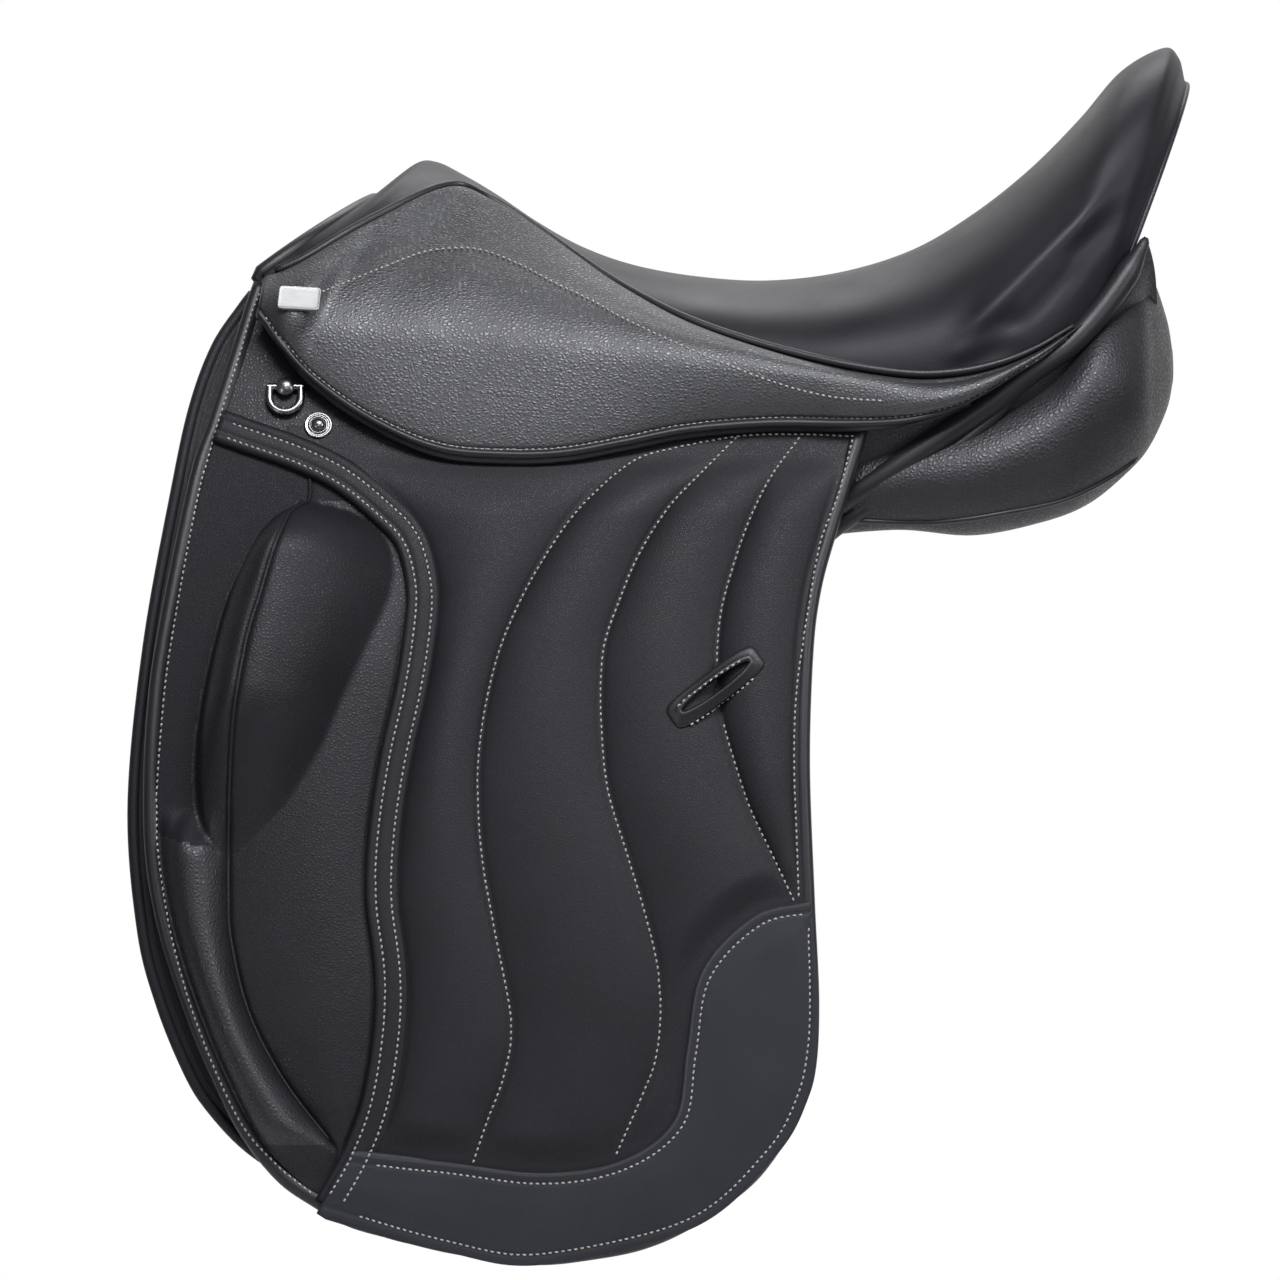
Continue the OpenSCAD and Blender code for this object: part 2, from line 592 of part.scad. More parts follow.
// Upper stretch runs from the piping to the bend line, or to the foot behind the line's end
function skirt_knee(u) = u < skirt_bend_end ? skirt_bend(u) : skirt_foot(u);
function skirt_upper_point(u, t) =
    let(p = skirt_top(u), q = skirt_knee(u), f = skirt_foot(u))
    let(lift = u < skirt_bend_end ? 0.6 * (q - f) : [0, 0.5, 0.35] * (p[2] - q[2]))
    let(m = [mix(p[0], q[0], 0.7), q[1] + max(lift[1], -8), min(q[2] + lift[2], p[2] - 1)])
    (1 - t) * (1 - t) * p + 2 * t * (1 - t) * m + t * t * q;
function skirt_lower_point(u, t) =
    let(roll = skirt_roll * ease((t - 0.55) / 0.3) * (1 - ease((t - 0.9) / 0.2)))
    mix(skirt_bend(u), skirt_foot(u), t) + [0, roll, 0];
// Point moved into the leather, square to the skirt's section
function skirt_in(f, u, t, d) =
    let(a = f(u, t - 0.02), b = f(u, t + 0.02), r = unit([0, b[1] - a[1], b[2] - a[2]]))
    f(u, t) + d * [0, r[2], -r[1]];
skirt_front = 0.25;
module skirt_upper(side) {
    rows = concat(steps(skirt_front, skirt_bend_end - 0.1, 20), [skirt_bend_end + 0.1],
        [for (u = seat_rows) if (u > skirt_bend_end + 0.2 && u < skirt_tip - 1) u]);
    function grid(d) = [for (u = rows) [for (t = steps(0.02, 1, 5))
        skirt_in(function(a, b) skirt_upper_point(a, b), u, t, d)]];
    color(leather) mirrored(side) slab(grid(0), grid(skirt_t));
}
module skirt(side) {
    rows = steps(skirt_front, skirt_bend_end - 0.25, 18);
    start = 0.04;
    function grid(d) = [for (u = rows) [for (t = [start, 0.3, 0.55, 0.75, 0.9, 1])
        skirt_in(function(a, b) skirt_lower_point(a, b), u, t, d)]];
    color(leather) mirrored(side) slab(grid(0), grid(skirt_t));
}
// Plain flat plate on the front of the skirt
plate_u = 0.75;
plate_down = 0.54;
plate_stand = 0.9;
module name_plates() {
    c = skirt_upper_point(plate_u, plate_down);
    down = skirt_upper_point(plate_u, plate_down + 0.1) - c;
    back = skirt_upper_point(plate_u + 0.2, plate_down) - c;
    out = unit(cross(back, down));
    along = unit(cross(out, [0, 0, 1]));
    up = cross(along, out);
    function grid(d) = [for (a = [-0.5, 0, 0.5])
        [for (b = [-0.5, 0, 0.5]) c + a * plate_l * along + b * plate_h * up + d * out]];
    color(steel) both() slab(grid(plate_stand + plate_t), grid(plate_stand));
}

// Leather sheet on the flap's curve, with its front and rear edges by height
module sheet(heights, front, rear, d_in, d_out) {
    function grid(d) = [for (z = heights)
        [for (s = [0, 0.5, 1]) flap_point(mix(look(front, z), look(rear, z), s), z, d)]];
    slab(grid(d_out), grid(d_in));
}
// Ear at the front of a sheet, outside the stirrup bar: its rear edge as height and distance back
ear_heights = [84, 66, 45];
head_top = 32;
sweat_top = 18;
head_ear = [[ear_heights[2], -190], [head_top, -160]];
sweat_ear = [[ear_heights[2], -211], [sweat_top, -211]];
module eared_sheet(heights, ear, front, rear, d_in, d_out) {
    rows = concat(ear_heights, heights);
    function grid(d) = [for (z = rows)
        let(f = look(front, z), r = look(rear, z), e = max(look(ear, z), mix(f, r, 0.15)))
        [for (x = [f, e, mix(e, r, 0.5), r]) flap_point(x, z, d)]];
    slab(grid(d_out), grid(d_in), function(i, j) i >= len(ear_heights) || j == 0);
}
flap_heights = [-20, -50, -80, -110, -140, -170, -200, -225, -250, -270, -290, -305, -317, -327, -336, -343,
    -349, -354, -358, -361, -363, -363.8];
module sweat_flap(side) {
    rows = concat([sweat_top, 0], [for (k = [0 : 15]) flap_heights[k]], [-346.5, -347.7]);
    color(leather) mirrored(side) eared_sheet(rows, sweat_ear, sweat_front, sweat_rear, 0, sweat_t);
}
module flap_head(side) {
    color(leather) mirrored(side) eared_sheet([head_top, 11, flap_bend + bend_gap], head_ear,
        flap_front, flap_rear, flap_in, flap_out);
}
module slit() {
    c = flap_point(keeper_x, keeper_z, flap_in);
    sag = slit_w / 2;
    arc_r = (slit_l * slit_l / 4 + sag * sag) / (2 * sag);
    translate([c[0], c[1] - 8, c[2]]) rotate([-90, 0, 0]) rotate([0, 0, -keeper_turn])
        linear_extrude(40) intersection() {
            translate([0, arc_r - sag]) circle(arc_r, $fn = 120);
            translate([0, sag - arc_r]) circle(arc_r, $fn = 120);
        }
}
module flap(side) {
    color(leather) mirrored(side) difference() {
        sheet(concat([flap_bend - bend_gap], flap_heights), flap_front, flap_rear, flap_in, flap_out);
        slit();
    }
}

// Quilted facing, with its rise between sewn channels fading out under the wear patch
facing_top = -7;
facing_edge = 1.5;
facing_columns = [[0, 3], [1, 3], [2, 2], [3, 2]];
function facing_guides(z) = concat(
    [for (edge = [facing_front, channel_1, channel_2, channel_3]) look(edge, z)],
    [look(flap_rear, z) - facing_edge]
);
function patch_far(x, z) = z < look(patch_top, x) ? 0
    : min([for (u = steps(0, len(patch_upper) - 1, 24)) norm([x, z] - spline(patch_upper, u))]);
function facing_rise(x, z, s) =
    quilt_rise * sin(180 * s) * ease((patch_far(x, z) - 8) / 14) * ease((facing_top + 2 - z) / 12);
module flap_facing(side) {
    rows = concat([facing_top, -14, -22, -32, -44, -58, -74, -92],
        [for (z = flap_heights) if (z < -100 && z > -362) z]);
    function row(z, d, lift) = let(g = facing_guides(z)) concat(
        [for (c = facing_columns, k = [0 : c[1] - 1])
            let(s = k / c[1], x = mix(g[c[0]], g[c[0] + 1], s))
            flap_point(x, z, d + lift * facing_rise(x, z, s))],
        [flap_point(g[4], z, d)]);
    color(leather) mirrored(side) difference() {
        slab([for (z = rows) row(z, facing_out, 1)], [for (z = rows) row(z, facing_in, 0)]);
        slit();
    }
}
module flap_patch(side) {
    function grid(d) = [for (u = steps(0, len(patch_upper) - 1, 22)) [for (s = steps(0, 1, 3))
        let(p = mix(spline(patch_upper, u), spline(patch_lower, u), s)) flap_point(p[0], p[1], d)]];
    color(soft_leather) mirrored(side) slab(grid(patch_in + patch_t), grid(patch_in));
}

// Knee block: steep in front, soft behind, round at both ends
knee_heights = [-12, -18, -27, -38, -50, -66, -86, -106, -126, -144, -156, -165, -171];
knee_columns = [0, 0.1, 0.2, 0.32, 0.46, 0.6, 0.76, 0.9, 1];
knee_crest = 0.3;
function knee_height(z, s) =
    let(end = ease((-10 - z) / 36) * ease((z + 172) / 36))
    let(back = max(s - knee_crest, 0) / (1 - knee_crest))
    knee_rise * end * (s < knee_crest ? ease(s / knee_crest) : pow(max(cos(90 * back), 0), 1.3));
knee_floor = 1;
module knee_block(side) {
    function grid(base, lift) = [for (z = knee_heights) [for (s = knee_columns)
        flap_point(mix(look(knee_front, z), look(knee_rear, z), s), z, base + lift * knee_height(z, s))]];
    color(foam_colour) mirrored(side) slab(grid(facing_in + knee_floor, 1), grid(facing_in, 0));
}
// Leather over the knee block, from the flap's front binding to the quilted facing
knee_pad_inset = 9;
module knee_pad(side) {
    rows = concat([-8.5], knee_heights, [-178, -200, -225, -250, -275, -300, -316]);
    function front(z) = look(flap_front, z) + knee_pad_inset;
    function rear(z) = look(facing_front, z) - 2 * facing_edge;
    function xs(z) = concat([front(z)], [for (s = knee_columns) knee_x(z, s)], [rear(z)]);
    function knee_x(z, s) =
        min(max(mix(look(knee_front, z), look(knee_rear, z), s), front(z) + 1 + 2 * s), rear(z) - 3 + 2 * s);
    function lift(z, k) =
        k > 0 && k <= len(knee_columns) ? knee_floor + knee_height(z, knee_columns[k - 1]) : knee_floor;
    function grid(d) = [for (z = rows) let(x = xs(z))
        [for (k = [0 : len(x) - 1]) flap_point(x[k], z, facing_in + layer_gap + lift(z, k) + d)]];
    color(leather) mirrored(side) slab(grid(knee_pad_t), grid(0));
}

// Keeper for the spare ends of the billets
keeper_x = -14;
keeper_z = -97;
keeper_turn = 36;
module keeper(side) {
    c = cos(keeper_turn);
    s = sin(keeper_turn);
    function grid(d) = [for (a = steps(-0.5, 0.5, 6)) [for (b = [-0.5, -0.25, 0.25, 0.5])
        let(x = a * keeper_l, z = b * keeper_w)
        flap_point(keeper_x + x * c - z * s, keeper_z + x * s + z * c, d)]];
    color(leather) mirrored(side) difference() {
        slab(grid(keeper_in + keeper_t), grid(keeper_in));
        slit();
    }
}

// Billet on the flap's curve, with a pointed tip and buckle holes
billet_top = billet_pivot + 8;
billet_tip = 22;
first_hole = 40;
module billet(x, side) {
    cut_out = flap_middle + flap_r + 40;
    function slant(z) = asin((z - flap_hang) / (flap_r + flap_out));
    color(leather) mirrored(side) difference() {
        intersection() {
            translate([x, cut_out, 0]) rotate([90, 0, 0]) linear_extrude(cut_out)
                polygon([[-billet_w / 2, billet_top], [billet_w / 2, billet_top],
                    [billet_w / 2, billet_low + billet_tip], [billet_w / 6, billet_low],
                    [-billet_w / 6, billet_low], [-billet_w / 2, billet_low + billet_tip]]);
            translate([x, flap_middle, flap_hang]) rotate([0, 90, 0]) difference() {
                cylinder(h = 2 * billet_w, r = flap_r + billet_out, center = true, $fn = 360);
                cylinder(h = 3 * billet_w, r = flap_r + billet_in, center = true, $fn = 360);
            }
        }
        for (k = [0 : billet_holes - 1])
            let(z = billet_low + first_hole + k * billet_pitch)
            translate([x, flap_middle, flap_hang]) rotate([slant(z) - 90, 0, 0])
                translate([0, 0, flap_r + billet_in - 2]) cylinder(h = billet_t + 4, r = billet_hole_r);
    }
}

// Panel: one padded loft per side, with its edge roll lying on it
panel_square = 2.5;
function panel_point(u, a, grow) =
    let(v = spline(panel_sections, u), c = cos(a), s = sin(a))
    let(p = (v[3] + grow) * pow(abs(c), 2 / panel_square) * sign(c))
    let(q = (v[4] + grow) * pow(abs(s), 2 / panel_square) * sign(s))
    [v[0], max(v[1] + p * sin(v[5]) + q * cos(v[5]), gullet_half), v[2] - p * cos(v[5]) + q * sin(v[5])];
module panel(side) {
    color(soft_leather) mirrored(side) loft([for (u = steps(0, len(panel_sections) - 1, 28))
        [for (a = steps(0, 360 - 22.5, 15)) panel_point(u, a, 0)]]);
}
module panel_roll(side) {
    first = panel_roll_angle[0][0];
    last = panel_roll_angle[len(panel_roll_angle) - 1][0];
    color(leather) mirrored(side) cord([for (u = steps(first, last, 18))
        panel_point(u, look(panel_roll_angle, u), panel_roll_r + 3 * layer_gap)], panel_roll_r);
}

// Dee ring and its staple, ahead of the skirt
dee_x = -219;
dee_z = 45.5;
staple_h = 5.6;
dee_stand = dee_wire_r + 0.5;
module on_flap(x, z) {
    a = asin((z - flap_hang) / (flap_r + flap_out));
    translate(flap_point(x, z, flap_out)) rotate([a, 0, 0]) children();
}
module dee_staples() {
    color(steel) both() on_flap(dee_x, dee_z) rotate([-90, 0, 0]) difference() {
        translate([0, 0, layer_gap]) intersection() {
            cylinder(h = staple_h, r = staple_r);
            translate([0, 0, staple_h - 1.4 * staple_r]) sphere(1.4 * staple_r);
        }
        translate([0, 0, dee_stand]) rotate([0, 90, 0])
            cylinder(h = 4 * staple_r, r = dee_wire_r + pin_gap, center = true);
    }
}
module dee_ring(side) {
    bend_r = dee_w / 2;
    color(steel) mirrored(side) on_flap(dee_x, dee_z) translate([0, dee_stand, 0]) union() {
        rotate([0, 90, 0]) cylinder(h = dee_w + dee_wire_r, r = dee_wire_r, center = true);
        for (s = [-1, 1]) translate([s * bend_r, 0, bend_r - dee_h])
            cylinder(h = dee_h - bend_r, r = dee_wire_r);
        translate([0, 0, bend_r - dee_h]) rotate([90, 180, 0])
            rotate_extrude(angle = 180) translate([bend_r, 0]) circle(dee_wire_r);
    }
}
point_x = -203;
point_z = 28;
module point_washers() {
    color(steel) both() on_flap(point_x, point_z) rotate([-90, 0, 0]) difference() {
        translate([0, 0, layer_gap]) cylinder(h = washer_t, r = washer_r);
        cylinder(h = washer_t + 2, r = screw_r * 0.6 + pin_gap);
    }
}
module point_screws() {
    color(steel) both() on_flap(point_x, point_z) rotate([-90, 0, 0]) union() {
        translate([0, 0, -flap_t]) cylinder(h = flap_t + washer_t + layer_gap + 0.2, r = screw_r * 0.6);
        translate([0, 0, washer_t + 2 * layer_gap]) intersection() {
            cylinder(h = screw_r, r = screw_r);
            sphere(screw_r);
        }
    }
}

tree();
head_plate();
head_plate_rivets();
stirrup_bar(-1);  // stirrup_bar_left
stirrup_bar(1);  // stirrup_bar_right
stirrup_bar_rivets();
bar_catch(-1);  // bar_catch_left
bar_catch(1);  // bar_catch_right
catch_pins();
seat_webs();
girth_webs(-1);  // girth_webs_left
girth_webs(1);  // girth_webs_right
seat_foam();
seat_cover();
seat_piping(-1);  // seat_piping_left
seat_piping(1);  // seat_piping_right
pommel_facing();
cantle_facing();
skirt_upper(-1);  // skirt_upper_left
skirt_upper(1);  // skirt_upper_right
skirt(-1);  // skirt_left
skirt(1);  // skirt_right
name_plates();
flap_head(-1);  // flap_head_left
flap_head(1);  // flap_head_right
dee_staples();
dee_ring(-1);  // dee_ring_left
dee_ring(1);  // dee_ring_right
point_screws();
point_washers();
panel(-1);  // panel_left
panel(1);  // panel_right
panel_roll(-1);  // panel_roll_left
panel_roll(1);  // panel_roll_right
sweat_flap(-1);  // sweat_flap_left
sweat_flap(1);  // sweat_flap_right
flap(-1);  // flap_left
flap(1);  // flap_right
flap_facing(-1);  // flap_facing_left
flap_facing(1);  // flap_facing_right
flap_patch(-1);  // flap_patch_left
flap_patch(1);  // flap_patch_right
knee_block(-1);  // knee_block_left
knee_block(1);  // knee_block_right
knee_pad(-1);  // knee_pad_left
knee_pad(1);  // knee_pad_right
keeper(-1);  // keeper_left
keeper(1);  // keeper_right
billet(web_x[0], -1);  // front_billet_left
billet(web_x[0], 1);  // front_billet_right
billet(web_x[1], -1);  // rear_billet_left
billet(web_x[1], 1);  // rear_billet_right
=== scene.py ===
"""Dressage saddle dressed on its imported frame: leather, padding, webbing, metal and stitching."""

import bpy
import numpy as np
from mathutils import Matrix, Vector
from mathutils.bvhtree import BVHTree


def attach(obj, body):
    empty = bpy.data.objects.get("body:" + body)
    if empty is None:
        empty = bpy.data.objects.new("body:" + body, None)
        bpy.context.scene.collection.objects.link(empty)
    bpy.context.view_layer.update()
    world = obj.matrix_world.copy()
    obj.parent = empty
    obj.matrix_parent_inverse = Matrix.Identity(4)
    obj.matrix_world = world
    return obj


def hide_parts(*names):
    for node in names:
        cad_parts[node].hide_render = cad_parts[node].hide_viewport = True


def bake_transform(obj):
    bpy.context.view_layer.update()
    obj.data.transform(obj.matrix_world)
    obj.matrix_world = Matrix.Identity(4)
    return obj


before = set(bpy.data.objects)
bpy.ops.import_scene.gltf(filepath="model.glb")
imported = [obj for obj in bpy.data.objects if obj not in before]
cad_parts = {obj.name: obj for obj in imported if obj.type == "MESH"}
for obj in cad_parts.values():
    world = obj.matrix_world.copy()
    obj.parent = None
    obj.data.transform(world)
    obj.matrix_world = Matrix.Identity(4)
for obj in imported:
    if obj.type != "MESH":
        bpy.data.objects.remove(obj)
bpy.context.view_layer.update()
scene = bpy.context.scene

# Shapes are worked out in millimetres on the right side (+Y) and mirrored for the left
MM = 0.001
SIDES = (("right", 1), ("left", -1))


# Camera: a little above the seat, square to the near side
VIEW_TARGET = Vector((-49.5, 0, -79)) * MM
VIEW_DISTANCE = 4.0
VIEW_RISE = np.radians(2)
camera_data = bpy.data.cameras.new("camera")
camera_data.sensor_width = 36
camera_data.lens = 227.5
camera = bpy.data.objects.new("camera", camera_data)
view_back = Vector((0, -np.cos(VIEW_RISE), np.sin(VIEW_RISE)))
camera.location = VIEW_TARGET + VIEW_DISTANCE * view_back
camera.rotation_euler = view_back.to_track_quat("Z", "Y").to_euler()
scene.collection.objects.link(camera)
scene.camera = camera
scene.view_settings.view_transform = "Standard"


# Curves and tables
def ease(t):
    c = np.clip(t, 0, 1)
    return c * c * (3 - 2 * c)


def mix(a, b, t):
    return a + (b - a) * t


def unit(v):
    return v / np.maximum(np.linalg.norm(v, axis=-1, keepdims=True), 1e-9)


def spline(points, u):
    """Catmull-Rom curve through the points, with straight ends."""
    p = np.asarray(points, float)
    u = np.asarray(u, float)
    i = np.clip(np.floor(u).astype(int), 0, len(p) - 2)
    t = (u - i)[..., None]
    b, c = p[i], p[i + 1]
    a = np.where((i > 0)[..., None], p[np.maximum(i - 1, 0)], 2 * b - c)
    d = np.where((i + 2 < len(p))[..., None], p[np.minimum(i + 2, len(p) - 1)], 2 * c - b)
    return b + 0.5 * t * (c - a + t * (2 * a - 5 * b + 4 * c - d + t * (3 * (b - c) + d - a)))


def look(table, x):
    """Smooth value of a table of (place, value) rows, held at its ends."""
    rows = np.array(sorted(table), float)
    place, value = rows[:, 0], rows[:, 1]
    slope = np.empty_like(value)
    slope[1:-1] = (value[2:] - value[:-2]) / (place[2:] - place[:-2])
    slope[0] = (value[1] - value[0]) / (place[1] - place[0])
    slope[-1] = (value[-1] - value[-2]) / (place[-1] - place[-2])
    x = np.asarray(x, float)
    i = np.clip(np.searchsorted(place, x, "right") - 1, 0, len(place) - 2)
    h = place[i + 1] - place[i]
    u = np.clip((x - place[i]) / h, 0, 1)
    start = (2 * u**3 - 3 * u**2 + 1) * value[i] + (u**3 - 2 * u**2 + u) * h * slope[i]
    return start + (3 * u**2 - 2 * u**3) * value[i + 1] + (u**3 - u**2) * h * slope[i + 1]


def run_of(line):
    """Distance along a line at each of its points."""
    return np.concatenate([[0], np.cumsum(np.linalg.norm(np.diff(line, axis=0), axis=1))])


def at_run(at, run, line):
    """Values of a line at given distances along it."""
    return np.stack([np.interp(at, run, line[:, k]) for k in range(line.shape[1])], 1)


def evenly(line, count):
    """The same line with evenly spaced points."""
    run = run_of(line)
    return at_run(np.linspace(0, run[-1], count), run, line)


def resample(points, step):
    """Points at equal steps along a smooth curve through the given ones."""
    fine = spline(points, np.linspace(0, len(points) - 1, len(points) * 24))
    return evenly(fine, max(int(round(run_of(fine)[-1] / step)), 3) + 1)


def steps(count):
    """Even shares from 0 to 1."""
    return np.linspace(0, 1, count)


def around(count):
    """Angles of a full turn."""
    return np.linspace(0, 2 * np.pi, count, endpoint=False)


def power(value, exponent):
    """Power that keeps the sign."""
    return np.sign(value) * np.abs(value) ** exponent


# Seat sections: foot x and z, half width, squareness, top x and z, height share of the piping
POMMEL_TOP, SEAT_LOW, CANTLE_TOP = 158, 97, 213


def dip(share):
    return mix(SEAT_LOW, POMMEL_TOP, share)


def rise(share):
    return mix(SEAT_LOW, CANTLE_TOP, share)


def flare(z):
    return 104 + 0.45 * (95 - z)


SEAT = np.array([
    (-232, 99, flare(99), 1.9, -176, dip(0.74), 0.02), (-227, 85, flare(85), 1.9, -160, dip(0.97), 0.41),
    (-216, 78, flare(78), 1.9, -150, dip(0.98), 0.64), (-200, 73, flare(73), 2.3, -137, dip(0.86), 0.89),
    (-178, 68, flare(68), 3.0, -120, dip(0.68), 0.93), (-146, 63, flare(63), 3.2, -100, dip(0.46), 0.93),
    (-112, 58, flare(58), 3.0, -78, dip(0.265), 0.875), (-74, 54, flare(55), 2.6, -52, dip(0.12), 0.73),
    (-30, 48, 126, 2.6, -20, dip(0.03), 0.52), (14, 43, 131, 2.6, 14, 97, 0.35),
    (46, 40, 136, 2.6, 50, rise(0.037), 0.23), (76, 38, 138, 2.6, 85, rise(0.132), 0.16),
    (98, 38, 138, 2.6, 115, rise(0.285), 0.136), (118, 40, 136, 2.6, 143, rise(0.476), 0.134),
    (134, 45, 131, 2.5, 168, rise(0.694), 0.128), (147, 52, 125, 2.4, 188, rise(0.897), 0.12),
    (160, 63, 116, 2.3, 208, rise(1), 0.1), (167, 70, 110, 2.2, 215.5, rise(0.962), 0.09),
    (170, 74, 107, 2.2, 218.5, rise(0.865), 0.08)])
SEAT_END = len(SEAT) - 1
COVER_T = 2.6


def seat_point(u, a, d):
    """Seat surface: place along it, angle from the crest, depth under the leather."""
    u, a, d = np.broadcast_arrays(np.asarray(u, float), a, d)
    v = spline(SEAT, u)
    up = np.maximum(np.cos(a), 0) ** (2 / v[..., 3])
    out = np.abs(np.sin(a)) ** (2 / v[..., 3]) * np.sign(a)
    h = v[..., 5] - v[..., 1]
    z = v[..., 1] + (h - d) * up
    x = mix(v[..., 0], v[..., 4], (z - v[..., 1]) / h)
    return np.stack([x, (v[..., 2] - d) * out, z], -1)


def piping_angle(u):
    v = spline(SEAT, u)
    return np.arccos(np.clip(v[..., 6], 0, 1) ** (v[..., 3] / 2))


# The flap's curve, and depths on it
FLAP_R, FLAP_MIDDLE, FLAP_HANG = 980, -775, -370
SWEAT_OUT, GIRTH_WEB_IN, GIRTH_WEB_T = 3.5, 3.8, 1.6
BILLET_IN, BILLET_OUT = 5.7, 9.2
FLAP_IN, FLAP_OUT = 10.5, 14.5


def flap_point(x, z, d):
    """Point of the flap's curve: distance back, height, distance out."""
    x, z, d = np.broadcast_arrays(np.asarray(x, float), z, d)
    a = np.arcsin((z - FLAP_HANG) / (FLAP_R + FLAP_OUT))
    return np.stack([x, FLAP_MIDDLE + (FLAP_R + d) * np.cos(a), FLAP_HANG + (FLAP_R + d) * np.sin(a)], -1)


# Outlines, as (height, distance back)
SWEAT_FRONT = [
    (98, -238), (91, -243), (72, -255), (43, -265), (2, -273), (-73, -285), (-148, -291), (-207, -286),
    (-242, -277), (-274, -264), (-292, -253), (-312, -234), (-328, -208), (-340, -176), (-346, -130),
    (-348, -95)]
SWEAT_REAR = [
    (20, 46), (-23, 33), (-77, 22), (-193, 22), (-275, 22), (-313, 4), (-332, -22), (-343, -55),
    (-348, -95)]
FLAP_FRONT = [
    (97, -235), (88, -238), (64, -245), (31, -255), (2, -264), (-73, -278), (-110, -282), (-148, -283),
    (-180, -281), (-213, -274), (-251, -261), (-279, -249), (-304, -236), (-325, -219), (-337, -202),
    (-346, -186), (-352, -165), (-358, -141), (-362, -116), (-364, -96)]
FLAP_REAR = [
    (30, 60), (-7, 48), (-23, 43), (-48, 36), (-77, 32), (-130, 30), (-193, 32), (-242, 34), (-275, 32),
    (-294, 25), (-313, 14), (-329, 0), (-347, -26), (-357, -49), (-362, -75), (-364, -94)]
# Lines on the flap, as (distance back, height)
BAND = [
    (-253, 20), (-239, 15), (-216, 7), (-195, -3), (-176, -18), (-165, -30), (-160, -50), (-161, -70),
    (-165, -96), (-172, -128), (-177, -163), (-178, -194), (-174, -226), (-174, -252), (-179, -285),
    (-188, -310), (-201, -333)]
FRONT_STITCH = [
    (-232, 92), (-236, 82), (-241, 63), (-258, 2), (-271, -73), (-275, -110), (-277, -148), (-276, -174),
    (-269, -213), (-257, -252), (-238, -295), (-220, -317), (-203, -331)]
REAR_STITCH = [
    (52, 22), (45, -4), (36, -27), (31, -54), (27, -77), (24, -100), (23, -130), (24, -162), (25, -193)]
LINE_TOP = [(53, 23), (24, 24), (-3, 23), (-31, 18)]
LINE_1 = [
    (-31, 18), (-53, 11), (-78, -11), (-97, -38), (-110, -63), (-118, -85), (-124, -114), (-126, -142),
    (-124, -174), (-118, -208), (-110, -251), (-113, -275), (-121, -297), (-128, -317)]
LINE_2 = [
    (-3, 23), (-20, 6), (-36, -11), (-50, -33), (-59, -54), (-66, -74), (-68, -93), (-68, -111),
    (-65, -142), (-56, -172), (-48, -198), (-42, -222), (-40, -242), (-42, -267), (-48, -284), (-61, -313)]
LINE_3 = [
    (27, 23), (13, 4), (2, -18), (-6, -41), (-11, -60), (-13, -83), (-11, -108), (-6, -127), (2, -151),
    (12, -172), (23, -195)]
SEAM = [
    (-207, 8), (-207, -8), (-214, -18), (-218, -30), (-223, -45), (-228, -62), (-233, -78), (-237, -98),
    (-240, -118), (-242, -144), (-243, -166), (-243, -192), (-242, -211), (-233, -247), (-216, -279),
    (-191, -311)]
PATCH_UPPER = [
    (30, -196), (4, -203), (-20, -228), (-27, -264), (-33, -297), (-58, -316), (-95, -322), (-140, -317),
    (-184, -312)]
PATCH_LOWER = [
    (31, -206), (33, -232), (33, -262), (28, -287), (13, -313), (-25, -346), (-95, -363), (-140, -357),
    (-199, -340)]
# Outline of the knee block, as (height, distance back)
KNEE_FRONT = [
    (-10, -212), (-18, -223), (-30, -233), (-52, -244), (-76, -251), (-100, -256), (-123, -259),
    (-147, -259), (-160, -256), (-172, -248)]
KNEE_REAR = [
    (-10, -203), (-14, -186), (-21, -175), (-30, -168), (-42, -166), (-53, -168), (-76, -178), (-100, -189),
    (-123, -199), (-147, -214), (-160, -226), (-174, -240)]


def middles(shape):
    """Middle of each face."""
    points, faces = shape
    return np.array([points[f].mean(0) for f in faces])


def by_height(line):
    return [(z, x) for x, z in line]


# Shapes: a shape is its corner points and its faces
def grid_faces(m, n, first=0, closed=False):
    """Faces of m rows of n points, each row open or closed to a ring."""
    i, j = np.meshgrid(np.arange(m - 1), np.arange(n if closed else n - 1), indexing="ij")
    k, after = first + i * n + j, first + i * n + (j + 1) % n
    return np.stack([k, after, after + n, k + n], -1).reshape(-1, 4).tolist()


def facing_out(shape):
    """The same shape with its faces turned outwards."""
    points, faces = shape
    total = 0.0
    for size in (3, 4):
        group = np.array([f for f in faces if len(f) == size], int).reshape(-1, size)
        for k in range(1, size - 1):
            cross = np.cross(points[group[:, k]], points[group[:, k + 1]])
            total += np.einsum("ij,ij->", points[group[:, 0]], cross)
    return shape if total > 0 else (points, [f[::-1] for f in faces])


EDGE_REACH, EDGE_RINGS = 2.2, 4


